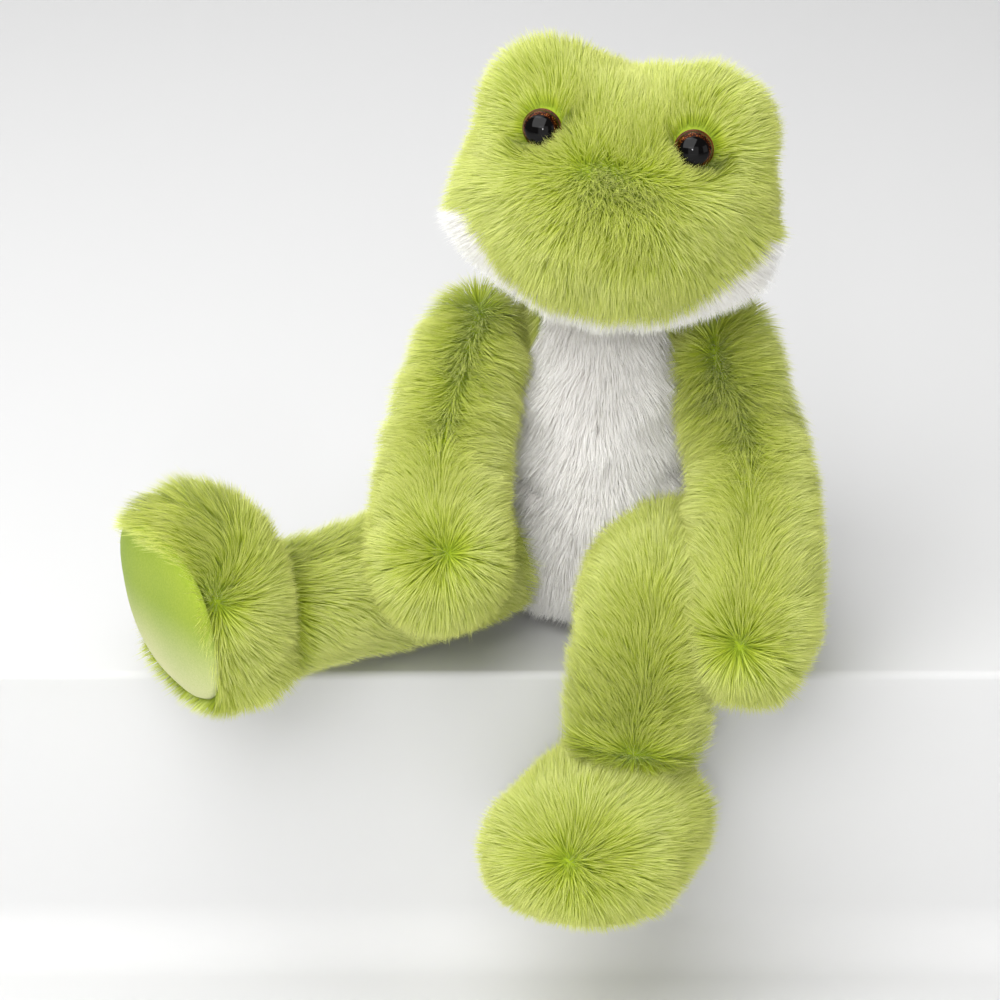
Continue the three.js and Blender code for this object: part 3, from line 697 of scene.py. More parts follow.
def pile_piece(name, paths, normals, shade, width, material):
    """The strands as ribbons of a quad and a pointed end, whose faces look out from the cloth with a
    random roll. The map's u is the strand's shade and its v runs from root to tip."""
    count = len(paths)
    along = unit(paths[:, -1] - paths[:, 0])
    side = unit(np.cross(along, normals))
    roll = rng.normal(0, STRAND_ROLL_SCATTER, count)[:, None]
    side = side * np.cos(roll) + np.cross(along, side) * np.sin(roll)
    half = np.array(STRAND_WIDTH_SHARES)[None, :, None] * (width / 2)[:, None, None] * side[:, None]
    pairs = np.stack([paths[:, :2] - half, paths[:, :2] + half], 2).reshape(count, 4, 3)
    points = np.concatenate([pairs, paths[:, 2:]], 1)
    pattern = np.array((0, 1, 3, 2, 2, 3, 4))
    corners = (np.arange(count)[:, None] * 5 + pattern).ravel()
    sizes = np.tile((4, 3), count)
    across = np.array((-1, 1, -1, 1, 0)) * 0.004
    v = np.repeat(STRAND_PLACES, 2)[:5] * 0.98 + 0.01
    uv = np.stack([np.clip(shade, 0.01, 0.99)[:, None] + across, np.broadcast_to(v, (count, 5))], -1)
    return new_object(name, points.reshape(-1, 3), corners, sizes, material,
                      uv[:, pattern].reshape(-1, 2))


def away_from(places, seed, wobble=2.0, openness=1.0):
    """A comb field that runs away from the nearest of some places, such as a parting or a whorl, out of
    line by smooth noise so that a parting wanders. Also the distance from it and how open it is."""
    places = np.asarray(places, float).reshape(-1, 3)
    openness = np.broadcast_to(openness, len(places))

    def field(points):
        bent = points + wobble * (0.5 * bends(points, 14, seed) + bends(points, 45, seed + 3))
        nearest = np.argmin(((bent[:, None] - places) ** 2).sum(-1), axis=1)
        out = bent - places[nearest]
        return unit(out), np.linalg.norm(out, axis=1), openness[nearest]
    return field


def limb_comb(form, limb, seed, spread=1.0):
    """A comb field that runs along a limb and out from its parting: close beside it as far as it is
    open, and further off by the spread."""
    places, openness = parting_on(form, limb)
    apart = away_from(places, seed, 1.6, openness)
    shares, strengths = np.array(COMBED_ALONG[limb]).T

    def field(points):
        out, distance, opened = apart(points)
        share, run = form.run(points)
        aside = opened + (spread - opened) * (1 - np.exp(-distance / PARTING_REACH))
        along = np.interp(share, shares, strengths)
        return out * aside[:, None] + run * along[:, None], distance, opened
    return field


class Coat:
    """The pile of one skin, worked out once and then dealt out to its pieces. A field gives each
    root's comb, its distance from a parting and how open that is; droop adds a pull downwards; hidden
    tells roots that are covered; trim changes the pile in places; reach is a parting's; pile whose
    cloth faces down is shorter_under; thick is the share of strands against the usual number."""

    def __init__(self, skin, field, seed, droop=0.25, neighbours=(), hidden=None, trim=None,
                 reach=PARTING_REACH, shorter_under=0.0, thick=1.0):
        roots, normals, went = skin.scattered(STRANDS_PER_SQUARE_MM * thick)
        keep = went < PUSHED_BARE
        if hidden is not None:
            keep &= ~hidden(roots)
        roots, normals, went = roots[keep], normals[keep], went[keep]
        comb, distance, opened = field(roots)
        near = np.exp(-distance / reach) * opened
        # The pile is thicker at a parting, where it leans apart
        thinned = THINNED_SHARE + (1 - THINNED_SHARE) * np.exp(-distance / THICK_REACH)
        keep = rng.random(len(roots)) < thinned
        roots, normals, went = roots[keep], normals[keep], went[keep]
        comb, near = comb[keep] + droop * np.array((0, 0, -1.0)), near[keep]
        count = len(roots)
        lengths = PILE_LENGTH * (1 + LENGTH_WAVES * waves(roots, 14, seed)
                                 + rng.normal(0, LENGTH_SCATTER, count))
        lengths *= 1 - shorter_under * np.clip(-normals[:, 2], 0, 1)
        lengths *= 1 - PUSHED_SHORTER * np.clip(went / PUSHED_FULL, 0, 1)
        lean = LEAN_WAVES * waves(roots, 11, seed + 1) + rng.normal(0, LEAN_SCATTER, count)
        # Strands stand up and cross at a parting, and lie down where a neighbour presses on them
        lean_tip = np.clip(TIP_LEAN - PARTING_STANDS * near + PUSHED_LEAN * np.minimum(went, PUSHED_MOST)
                           + lean, 5, 86)
        if trim is not None:
            comb, lengths, lean_tip = trim(roots, comb, lengths, lean_tip)
        comb = unit(comb - normals * (comb * normals).sum(1, keepdims=True))
        turn = (TURN_WAVES * waves(roots, 18, seed + 2)
                + rng.normal(0, 1, count) * (TURN_SCATTER + TURN_TANGLE * near))
        turn = np.radians(turn)[:, None]
        comb = comb * np.cos(turn) + np.cross(normals, comb) * np.sin(turn)
        paths = strand_paths(roots, normals, comb, lengths, ROOT_LEAN_SHARE * lean_tip, lean_tip)
        for size, step, pull in CLUMPS:
            paths = drawn_together(paths, clump_shares(roots, size, seed + step), pull)
        bent, _ = pushed_out(paths[:, 1:].reshape(-1, 3), neighbours)
        paths[:, 1:] = bent.reshape(-1, 2, 3)
        low = (paths[..., 1] > SEAT_EDGE) & (paths[..., 2] < ABOVE_SEAT)
        paths[..., 2] = np.where(low, ABOVE_SEAT, paths[..., 2])
        self.paths, self.normals = paths, normals
        self.width = STRAND_WIDTH * rng.uniform(1 - STRAND_WIDTH_SCATTER, 1 + STRAND_WIDTH_SCATTER, count)
        shade = 0.5 + SHADE_WAVES * waves(roots, 9, seed + 11) + rng.normal(0, SHADE_SCATTER, count)
        self.shade = np.clip(shade, 0, 1)

    def piece(self, name, material, chosen=None):
        """The strands whose outer part passes a test, since that is the part that shows."""
        outer = 0.4 * self.paths[:, 1] + 0.6 * self.paths[:, 2]
        chosen = np.ones(len(self.paths), bool) if chosen is None else chosen(outer)
        return pile_piece(name, self.paths[chosen], self.normals[chosen], self.shade[chosen],
                          self.width[chosen], material)


# Materials

GREY = (0.5, 0.5, 0.5, 1)


def srgb(red, green, blue):
    """A colour given as 0 to 255 screen values, in the linear values that a shader takes."""
    share = np.array((red, green, blue)) / 255
    return (*np.where(share <= 0.04045, share / 12.92, ((share + 0.055) / 1.055) ** 2.4), 1.0)


def node(tree, kind, inputs=(), **settings):
    """A new node with its settings, and its inputs given as values or as sockets to link."""
    made = tree.nodes.new(kind)
    for name, value in settings.items():
        setattr(made, name, value)
    for key, value in dict(inputs).items():
        socket = made.inputs[key]
        if isinstance(value, bpy.types.NodeSocket):
            tree.links.new(value, socket)
        else:
            socket.default_value = value
    return made


def mixed(tree, share, first, second):
    """The colour at a share of the way from the first to the second."""
    return node(tree, "ShaderNodeMix", {0: share, 6: first, 7: second}, data_type="RGBA").outputs[2]


def ranged(tree, value, low, high, *ends, smooth=False):
    """Where a value lies between low and high, from 0 to 1 or between the ends given."""
    return node(tree, "ShaderNodeMapRange", enumerate((value, low, high, *ends)),
                interpolation_type="SMOOTHSTEP" if smooth else "LINEAR").outputs[0]


def reckoned(tree, operation, *values):
    """One sum on values or links, as a node."""
    return node(tree, "ShaderNodeMath", enumerate(values), operation=operation).outputs[0]


def new_group(name, given, outputs):
    """A node group from its inputs' first values and its outputs' kinds, with its inputs and outputs
    as its own nodes see them."""
    group = bpy.data.node_groups.new(name, "ShaderNodeTree")
    for socket, value in given.items():
        kind = "NodeSocketColor" if isinstance(value, tuple) else "NodeSocketFloat"
        group.interface.new_socket(socket, in_out="INPUT", socket_type=kind).default_value = value
    for socket, kind in outputs.items():
        group.interface.new_socket(socket, in_out="OUTPUT", socket_type=kind)
    return group, group.nodes.new("NodeGroupInput").outputs, group.nodes.new("NodeGroupOutput").inputs


def strand_colour_and_painted_light_group():
    """Colour along a strand: dark at the root, which is painted shade deep in the pile; full in the middle;
    and pale at the tip, which is a painted highlight where the tips catch the light. The strand's own shade
    from its map sets a tone that varies at random."""
    group, given, result = new_group(
        "strand_colour_and_painted_light", {"Root": GREY, "Middle": GREY, "Tip": GREY, "Contrast": 0.4},
        {"Color": "NodeSocketColor"})
    place = node(group, "ShaderNodeUVMap", uv_map="OFBake")
    shade, along = node(group, "ShaderNodeSeparateXYZ", {0: place.outputs[0]}).outputs[:2]
    # The root's darker colour is painted shade deep in the pile. The tip's paler colour is a painted
    # highlight.
    body = mixed(group, ranged(group, along, 0.0, 0.45, smooth=True), given["Root"], given["Middle"])
    whole = mixed(group, ranged(group, along, 0.4, 1.0, smooth=True), body, given["Tip"])
    gain = reckoned(group, "MULTIPLY_ADD", reckoned(group, "SUBTRACT", shade, 0.5), given["Contrast"], 1.0)
    scaled = node(group, "ShaderNodeVectorMath", {0: whole, 3: gain}, operation="SCALE")
    group.links.new(scaled.outputs[0], result["Color"])
    return group


def new_material(name, **values):
    """A material, its tree and its shader, whose inputs have the values given."""
    material = bpy.data.materials.new(name)
    material.use_nodes = True
    shader = material.node_tree.nodes["Principled BSDF"]
    for key, value in values.items():
        shader.inputs[key.replace("_", " ")].default_value = value
    return material, material.node_tree, shader


def pile_material(name, root, middle, tip, contrast, sheen_tint):
    """Strands coloured along their length by the shared group, dark with painted shade at the root and pale
    with a painted highlight at the tip, under a soft sheen.
    """
    material, tree, shader = new_material(
        name, Roughness=0.45, Sheen_Weight=0.3, Sheen_Roughness=0.45, Sheen_Tint=sheen_tint,
        Specular_IOR_Level=0.8)
    colour = node(tree, "ShaderNodeGroup", {"Root": root, "Middle": middle, "Tip": tip, "Contrast": contrast},
                  node_tree=strand_colour_and_painted_light)
    tree.links.new(colour.outputs[0], shader.inputs["Base Color"])
    return material


def short_pile_group():
    """Short plush or knitted backing: fine grain and broad brushed patches, as a colour and a height."""
    group, given, result = new_group(
        "short_pile", {"Dark": GREY, "Light": GREY, "Grain": 1200.0, "Patches": 40.0},
        {"Color": "NodeSocketColor", "Height": "NodeSocketFloat"})
    place = node(group, "ShaderNodeTexCoord").outputs["Object"]
    grain, patches = (
        node(group, "ShaderNodeTexNoise", {"Vector": place, "Scale": given[key], "Detail": detail}).outputs[0]
        for key, detail in (("Grain", 2.0), ("Patches", 1.0)))
    share = reckoned(group, "MULTIPLY_ADD", patches, 0.5, reckoned(group, "MULTIPLY", grain, 0.5))
    colour = mixed(group, ranged(group, share, 0.3, 0.7), given["Dark"], given["Light"])
    group.links.new(colour, result["Color"])
    group.links.new(grain, result["Height"])
    return group


def short_material(name, dark, light, grain, patches, height, sheen=0.4, roughness=0.9):
    """A material of short pile: two colours, the scales of its grain and its patches, and the depth of
    its relief in millimetres."""
    material, tree, shader = new_material(name, Roughness=roughness, Sheen_Weight=sheen,
                                          Specular_IOR_Level=0.2)
    pattern = node(tree, "ShaderNodeGroup",
                   {"Dark": dark, "Light": light, "Grain": grain, "Patches": patches}, node_tree=short_pile)
    bump = node(tree, "ShaderNodeBump",
                {"Height": pattern.outputs["Height"], "Strength": 0.6, "Distance": height * MM})
    tree.links.new(pattern.outputs["Color"], shader.inputs["Base Color"])
    tree.links.new(bump.outputs[0], shader.inputs["Normal"])
    return material


def painted_shade_sole_material(top, bottom):
    """Short plush that is darker and deeper green high up, which is painted shade under the toe's overhanging
    pile, and paler low down: each of the two pairs of colours is dark and light, and height along Z mixes
    them."""
    material = short_material("sole_plush", *top, 1500.0, 26.0, 0.25, sheen=0.1)
    tree = material.node_tree
    pattern = next(n for n in tree.nodes if n.bl_idname == "ShaderNodeGroup")
    place = node(tree, "ShaderNodeTexCoord").outputs["Object"]
    height = node(tree, "ShaderNodeSeparateXYZ", {0: place}).outputs[2]
    # From the painted shade high up to the paler plush low down
    share = ranged(tree, height, SOLE_SHADE_TOP * MM, SOLE_SHADE_BOTTOM * MM, smooth=True)
    for key, high, low in zip(("Dark", "Light"), top, bottom):
        tree.links.new(mixed(tree, share, high, low), pattern.inputs[key])
    return material


def eye_material():
    """A black pupil, a ring of amber glitter round it and a dark edge, under a clear hard coat."""
    material, tree, shader = new_material("eye_bead", Roughness=0.04, Specular_IOR_Level=0.2)
    place = node(tree, "ShaderNodeUVMap", uv_map="OFBake").outputs[0]
    centred = node(tree, "ShaderNodeVectorMath", {0: place, 1: (0.5, 0.5, 0)}, operation="SUBTRACT")
    radius = node(tree, "ShaderNodeVectorMath", {0: centred.outputs[0]}, operation="LENGTH").outputs["Value"]
    ring = reckoned(tree, "MULTIPLY", ranged(tree, radius, 0.395, 0.41),
                    ranged(tree, radius, 0.485, 0.495, 1.0, 0.0))
    flakes = node(tree, "ShaderNodeTexVoronoi", {"Vector": place, "Scale": 34.0}).outputs["Distance"]
    glitter = mixed(tree, ranged(tree, flakes, 0.12, 0.4), srgb(196, 112, 44), srgb(52, 20, 8))
    tree.links.new(mixed(tree, ring, srgb(6, 5, 5), glitter), shader.inputs["Base Color"])
    tree.links.new(reckoned(tree, "MULTIPLY", ring, 0.7), shader.inputs["Metallic"])
    return material


strand_colour_and_painted_light = strand_colour_and_painted_light_group()
short_pile = short_pile_group()
# Each pile's root colour is painted shade deep in the pile, and its paler tip colour is a painted highlight.
green_pile = pile_material("green_pile", srgb(160, 182, 34), srgb(182, 198, 40), srgb(216, 221, 120), 0.22,
                           srgb(250, 250, 232))
white_pile = pile_material("white_pile", srgb(242, 239, 232), srgb(253, 250, 246), srgb(255, 254, 251), 0.06,
                           srgb(255, 253, 248))
# The cloth's colours are its own, set a little darker than the pile's as painted shade deep in the pile,
# where the cloth shows between strands.
green_cloth = short_material("green_cloth", srgb(150, 172, 34), srgb(168, 188, 44), 900.0, 60.0, 0.3)
white_cloth = short_material("white_cloth", srgb(206, 202, 192), srgb(226, 223, 215), 900.0, 60.0, 0.3)
# The top pair, darker and deeper green, is painted shade under the toe's overhanging pile. The bottom pair is
# paler.
sole_plush = painted_shade_sole_material((srgb(128, 160, 34), srgb(164, 182, 60)),
                           (srgb(200, 208, 140), srgb(226, 224, 172)))
stuffing = short_material("stuffing", srgb(225, 225, 222), srgb(250, 250, 248), 300.0, 60.0, 1.5)
eye_bead = eye_material()
glitter_film = short_material("glitter_film", srgb(26, 12, 6), srgb(128, 66, 22), 2600.0, 300.0, 0.15,
                              sheen=0.0, roughness=0.3)
washer_plastic = short_material("washer_plastic", srgb(222, 222, 216), srgb(236, 236, 230), 500.0, 60.0, 0.05,
                                sheen=0.0, roughness=0.4)


# Torso and belly

def in_belly(points):
    """Inside the belly's outline in the front view, on the front of the body."""
    t = (points[:, 2] - BELLY_BOTTOM) / (BELLY_TOP - BELLY_BOTTOM)
    half = BELLY_HALF_WIDTH * smooth_value(BELLY_WIDTH_SHARES, t)
    return (points[:, 1] < BELLY_BACK) & (np.abs(points[:, 0]) < half)


def in_chin(points):
    """Below a line that is low under the muzzle and rises to the cheeks as a power of the distance
    from the middle, in front of the jaw's back."""
    directions = unit(head.local(points))
    local = directions * head_radius(directions)[:, None]
    across = np.abs(np.clip(local[:, 0], *CHIN_REACHES)) / CHIN_HALF_WIDTH
    line = -CHIN_DROP + CHIN_RISE * across ** CHIN_POWER
    return (local[:, 1] < CHIN_BACK) & (local[:, 2] < line)


def both(*tests):
    """The test that passes where each of some tests does."""
    return lambda points: np.logical_and.reduce([test(points) for test in tests])


def opposite(test):
    """The test that passes where another fails."""
    return lambda points: ~test(points)


def dress(piece, body, nodes=()):
    """A finished piece stands for CAD nodes, which are hidden, and rides on a body named by a string; for any
    other body its placing is baked into its points.
    """
    if nodes:
        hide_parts(*nodes)
    if isinstance(body, str):
        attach(piece, body)
    else:
        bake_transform(piece)


def dress_panelled(skin, coat, body, panel, inside, halves, split):
    """A body's white panel and the green rest of it: the cloth, and then the pile, whose green is dealt
    to two halves by a test."""
    outside = opposite(inside)
    white = cloth_piece(f"{panel}_cloth", skin, white_cloth, inside)
    dress(white, body, [f"{panel}_panel"])
    green = cloth_piece(f"{body}_cloth", skin, green_cloth, outside)
    dress(green, body, [f"{body}_skin"])
    dress(coat.piece(f"{panel}_pile", white_pile, inside), body)
    for name, half in zip(halves, (split, opposite(split))):
        dress(coat.piece(name, green_pile, both(outside, half)), body)


def creased(points):
    """The body is drawn in where the belly folds over the hips, more at the sides than in the middle."""
    across = np.clip((np.abs(points[:, 0]) - HIP_CREASE_FROM) / HIP_CREASE_BLEND, 0, 1)
    height = HIP_CREASE_HEIGHT + HIP_CREASE_WAVES * waves(points, 30, 91)
    depth = HIP_CREASE_DEPTH * across * np.exp(-((points[:, 2] - height) / HIP_CREASE_REACH) ** 2)
    inward = unit(points * (1, 1, 0))
    return points - inward * (depth * (points[:, 1] < 0))[:, None]


def build_torso():
    """The body's cloth with the belly let in, and its pile: the belly's, and the rest in two halves."""
    skin = Skin(torso, shape=creased)

    def field(points):
        """Down, and out to the sides."""
        comb = np.stack([0.5 * points[:, 0], 0 * points[:, 1], np.full(len(points), -30.0)], 1)
        return unit(comb), np.full(len(points), 1e3), 0
    coat = Coat(skin, field, 100, hidden=lambda p: head.depth(p, -8)[0] < 1,
                neighbours=[(arms["left"], -CLOTH_DEPTH), (arms["right"], -CLOTH_DEPTH)])
    dress_panelled(skin, coat, "torso", "belly", in_belly, ("torso_pile_left", "torso_pile_right"),
                   lambda p: p[:, 0] > 0)


# Head

def eye_place(side):
    """The frame of an eye: on the head's surface at its width and height, sunk a little, facing out."""
    sign = SIGNS[side]
    aim = unit(np.array((sign * EYE_SPREAD, -HEAD_HALF_DEPTH, EYE_HEIGHT)) + EYE_SHIFTS[side])
    facing = unit(aim * (EYE_OUTTURN, 1, EYE_UPTURN))
    across = unit(np.cross((0, 0, 1), facing))
    matrix = np.eye(4)
    matrix[:3, 0], matrix[:3, 1], matrix[:3, 2] = across, np.cross(facing, across), facing
    matrix[:3, 3] = aim * head_radius(aim) - facing * EYE_SINK
    return head.place @ matrix


eye_places = {side: eye_place(side) for side in ("left", "right")}


def face_trim(roots, comb, lengths, lean_tip):
    """Round an eye the pile is short and stands up, leaning in over the eye's rim on one side and away
    from it on the other. It is short and stands up at the nose too."""
    for side, place in eye_places.items():
        local = placed(np.linalg.inv(place), roots)
        distance = np.maximum(np.hypot(local[:, 0], local[:, 1]) - EYE_DIAMETER / 2, 0)
        near = np.where(local[:, 2] > EYE_BEHIND, np.exp(-(distance / EYE_FUR_REACH) ** 2), 0)
        away = np.clip(-2 * local[:, :2] @ EYE_COVERS[side] / EYE_DIAMETER, -1, 1)
        comb = comb * (1 - near[:, None]) + unit(roots - place[:3, 3]) * (away * near)[:, None]
        lengths = lengths * (1 - EYE_FUR_SHORTER * near)
        least, more = EYE_FUR_LEANS
        lean_tip = lean_tip * (1 - near) + (least + more * np.abs(away)) * near
    nose = np.exp(-(np.linalg.norm(roots - head.point(unit(NOSE_AIM)), axis=1) / NOSE_REACH) ** 2)
    return comb, lengths * (1 - NOSE_SHORTER * nose), np.clip(lean_tip - NOSE_STANDS * nose, 5, 88)


def under_eye(points):
    """Roots that an eye covers."""
    hidden = np.zeros(len(points), bool)
    for place in eye_places.values():
        local = placed(np.linalg.inv(place), points)
        radius = np.hypot(local[:, 0], local[:, 1])
        hidden |= (radius < EYE_RING_DIAMETER / 2 - EYE_RING_LAP) & (local[:, 2] > EYE_BEHIND)
    return hidden


def head_shape(points):
    """Near each eye the cloth is drawn flat against the back of the ring."""
    for place in eye_places.values():
        local = placed(np.linalg.inv(place), points)
        share = np.exp(-(np.linalg.norm(local, axis=1) / CLOTH_FLAT_REACH) ** 4)
        local[:, 2] += share * (-EYE_RING_THICKNESS - CLOTH_BEHIND_EYE - local[:, 2])
        points = placed(place, local)
    return points


def build_head():
    """The head's cloth with the chin let in, and its pile, which parts along a line on the nose: the
    chin's, the face's and the back's."""
    skin = Skin(head, [(torso, 1.0)], shape=head_shape)
    nose = head.point(unit(NOSE_AIM) + np.linspace(-1, 1, 9)[:, None] * NOSE_HALF_SPAN)
    coat = Coat(skin, away_from(nose, 210), 200, droop=0.15, trim=face_trim, reach=12,
                hidden=lambda p: under_eye(p) | (torso.depth(p, -2)[0] < 1),
                neighbours=[(torso, -CLOTH_DEPTH)])
    dress_panelled(skin, coat, "head", "chin", in_chin, ("face_pile", "head_back_pile"),
                   lambda p: head.local(p)[:, 1] < FACE_DEPTH)


def turned_piece(name, profile, place, material, around=72):
    """A profile of radius and height pairs turned about the local Z, its poles closed to points."""
    radius, height = np.array(profile, float).T
    turn = np.linspace(0, 2 * np.pi, around, endpoint=False)
    points = np.stack([radius[:, None] * np.cos(turn), radius[:, None] * np.sin(turn),
                       height[:, None] + 0 * turn], -1).reshape(-1, 3)
    faces = grid_faces(len(profile), around)
    flat = points[faces.ravel()][:, :2] / (2 * radius.max()) + 0.5
    piece = quad_object(name, placed(place, points), faces, material, flat)
    work = bmesh.new()
    work.from_mesh(piece.data)
    bmesh.ops.remove_doubles(work, verts=work.verts, dist=1e-6)
    bmesh.ops.recalc_face_normals(work, faces=work.faces)
    work.to_mesh(piece.data)
    work.free()
    return piece


def build_eyes():
    """The bead, the ring and the washer of each eye, turned about its axis. The bead's dome is a
    quarter of an oval, its height times the sine of an angle and its radius times the cosine."""
    radius = EYE_DIAMETER / 2
    rise = np.linspace(0, np.pi / 2, 18)
    dome = [(radius * np.cos(a), EYE_RIM + EYE_DOME * np.sin(a)) for a in rise]
    tip, shank = EYE_SHANK_RADII
    bead = [(0, -EYE_SHANK_LENGTH), (tip, -EYE_SHANK_LENGTH), (shank, shank - tip - EYE_SHANK_LENGTH),
            (shank, 0), (radius - EYE_BEVEL, 0), (radius, EYE_BEVEL), *dome]
    outer, hole = EYE_RING_DIAMETER / 2, EYE_HOLE_RADIUS
    top, back, bevel = -EYE_RING_GAP, -EYE_RING_THICKNESS - EYE_RING_GAP, EYE_RING_BEVEL
    ring = [(hole, back), (outer - bevel, back), (outer, back + bevel), (outer, top - bevel),
            (outer - bevel, top), (hole, top), (hole, back)]
    front = back - CLOTH_THICKNESS - WASHER_GAP
    end, flange = front - WASHER_HEIGHT, front - WASHER_THICKNESS
    washer = [(hole, end), (WASHER_HUB_RADIUS, end), (WASHER_HUB_RADIUS, flange), (WASHER_RADIUS, flange),
              (WASHER_RADIUS, front), (hole, front), (hole, end)]
    for side, place in eye_places.items():
        for name, profile, material, slot, node_name in (
                ("eye_bead", bead, eye_bead, "eye_plastic", "eye"),
                ("glitter_ring", ring, glitter_film, "eye_glitter", "eye_ring"),
                ("lock_washer", washer, washer_plastic, "washer_plastic", "eye_washer")):
            piece = turned_piece(f"{side}_{name}", profile, place, material)
            dress(piece, "head", [f"{side}_{node_name}"])


# Limbs

def parting_on(form, limb):
    """Points along a limb's parting, evenly between its places, and how open it is at each."""
    shares, turns, openness = np.array(PARTINGS[limb]).T
    t = np.linspace(shares[0], shares[-1], 30)
    return form.point(t, np.pi / 2 + np.interp(t, shares, turns)), np.interp(t, shares, openness)


def cover(limb, skin, coat, body, nodes):
    """A limb's cloth, which stands for its CAD skins, and its pile."""
    dress(cloth_piece(f"{limb}_cloth", skin, green_cloth), body, nodes)
    dress(coat.piece(f"{limb}_pile", green_pile), body)


def build_arm(side):
    """An arm's cloth and pile, kept out of the body, the head and the leg under it."""
    form, leg, limb = arms[side], legs[side], f"{side}_arm"
    seed = SEEDS[limb]
    skin = Skin(form, [(torso, 2.0), (leg, -2.0), (feet[side], 1.0), (head, 0.5)])
    coat = Coat(skin, limb_comb(form, limb, seed + 20), seed, droop=0.15, thick=1.18,
                neighbours=[(torso, -CLOTH_DEPTH), (leg, -CLOTH_DEPTH)])
    cover(limb, skin, coat, limb, [f"{limb}_skin"])


def across_knee(side, reach=24.0):
    """A leg's two bodies, and the points before and after the knee at a reach from it, in metres."""
    thigh, shin, foot = leg_places(side)
    knee = shin[:3, 3]
    before = knee + unit(thigh[:3, 3] - knee) * reach
    after = knee + unit(foot[:3, 3] - knee) * reach
    return f"{side}_thigh", f"{side}_shin", tuple(before * MM), tuple(after * MM)


def build_leg(side):
    """A leg's cloth and pile, in one run across the knee."""
    form, foot, limb = legs[side], feet[side], f"{side}_leg"
    seed = SEEDS[limb]
    skin = Skin(form, [(torso, 1.0), (foot, -CLOTH_DEPTH - 0.5)])

    def hidden(points):
        """Roots inside the body or the foot."""
        return ((torso.depth(points, BARE_ROUND_BODY[side])[0] < 1)
                | (foot.depth(points, -CLOTH_DEPTH - 1)[0] < 1))

    coat = Coat(skin, limb_comb(form, limb, seed + 20, 0.8), seed, droop=0.1, shorter_under=UNDER_SHORTER,
                hidden=hidden, neighbours=[(torso, -CLOTH_DEPTH)])
    cover(limb, skin, coat, across_knee(side), [f"{side}_thigh_skin", f"{side}_shin_skin"])


def sole_share(across, along):
    """How far out on the sole a place lies, 1 on its rim: its shares of the half width and the half
    length, each raised to a power that squares off the oval, added up and rooted."""
    return ((np.abs(across) / SOLE_HALF_WIDTH) ** SOLE_POWER
            + (np.abs(along - SOLE_MIDDLE) / SOLE_HALF_LENGTH) ** SOLE_POWER) ** (1 / SOLE_POWER)


def build_sole(side, place):
    """A smooth panel over the underside: a shallow dome that rises as the root of a power of the
    distance from the middle, closed by a flat back."""
    rings, around, power = 26, 96, SOLE_POWER
    share = np.concatenate([np.linspace(0, 1, rings), np.linspace(1, 0, 8)[1:]])[:, None]
    back = (np.arange(len(share)) >= rings)[:, None]
    turn = np.linspace(0, 2 * np.pi, around, endpoint=False)[None, :]
    reach = share * (np.abs(np.cos(turn)) ** power + np.abs(np.sin(turn)) ** power) ** (-1 / power)
    dome = SOLE_LEVEL + SOLE_RIM_RISE - SOLE_DOME * np.sqrt(np.clip(1 - share ** SOLE_DOME_POWER, 0, 1))
    points = np.stack(np.broadcast_arrays(SOLE_HALF_WIDTH * reach * np.cos(turn),
                                          np.where(back, SOLE_LEVEL + SOLE_INSET - SOLE_BACK_GAP, dome),
                                          SOLE_MIDDLE + SOLE_HALF_LENGTH * reach * np.sin(turn)), -1)
    sole = quad_object(f"{side}_sole_plush", placed(place, points.reshape(-1, 3)),
                       grid_faces(len(share), around)[:, ::-1], sole_plush)
    dress(sole, f"{side}_shin", [f"{side}_sole_panel"])


def build_foot(side):
    """A foot's cloth and pile round its whorl, flat underneath, and its sole."""
    form, leg, limb = feet[side], legs[side], f"{side}_foot"
    seed = SEEDS[limb]
    inverse = np.linalg.inv(form.place)
    under = SOLE_LEVEL + SOLE_INSET
    from_whorl = away_from(placed(form.place, np.array([FOOT_WHORLS[side]])), seed + 20)

    def flattened(points):
        """The foot's underside drawn flat above the sole."""
        local = placed(inverse, points)
        local[:, 1] = np.maximum(local[:, 1], under)
        return placed(form.place, local)

    def hidden(points):
        """Roots under the sole or inside the leg."""
        local = placed(inverse, points)
        on_sole = (local[:, 1] < under + 0.5) & (sole_share(local[:, 0], local[:, 2]) < 1)
        return on_sole | (leg.depth(points, -CLOTH_DEPTH - 1)[0] < 1)

    def field(points):
        """Away from the whorl, and at the heel and the right toe over the sole's rim."""
        local = placed(inverse, points)
        over = sum(strength * np.clip((place - start) / blend, 0, 1)
                   * np.exp(-((local[:, 1] - SOLE_LEVEL) / rise) ** 2)
                   for place, (strength, start, blend, rise) in ((SOLE_MIDDLE - local[:, 2], OVER_THE_HEEL),
                                                                 (local[:, 2], OVER_THE_TOE[side])))
        out, distance, opened = from_whorl(points)
        out = out * (1 - WHORL_STANDS * np.exp(-distance / WHORL_REACH))[:, None]
        return out - over[:, None] * form.place[:3, 1], distance, opened

    def rimmed(roots, comb, lengths, lean_tip):
        """Round the sole the pile stands up against its rim."""
        local = placed(inverse, roots)
        share, rise = RIM_REACHES
        near = (np.exp(-((sole_share(local[:, 0], local[:, 2]) - 1) / share) ** 2)
                * np.exp(-((local[:, 1] - under) / rise) ** 2))
        return comb, lengths * (1 - RIM_SHORTER * near), lean_tip * (1 - RIM_STANDS * near)

    skin = Skin(form, shape=flattened)
    coat = Coat(skin, field, seed, hidden=hidden, trim=rimmed, shorter_under=UNDER_SHORTER,
                neighbours=[(leg, -CLOTH_DEPTH)])
    cover(limb, skin, coat, f"{side}_shin", [f"{limb}_skin"])
    build_sole(side, form.place)


def lumpy(points):
    """Points carried off by smooth noise."""
    return points + FILLING_LUMPS * bends(points, 25, 60)


def stuff(name, form, neighbours, body, nodes, **counts):
    """The stuffing inside a skin: the same form, further in and a little lumpy."""
    skin = Skin(form, neighbours, grow=-FILLING_DEPTH, shape=lumpy, around=48, **counts)
    dress(quad_object(f"{name}_stuffing", skin.points, skin.faces, stuffing), body, nodes)


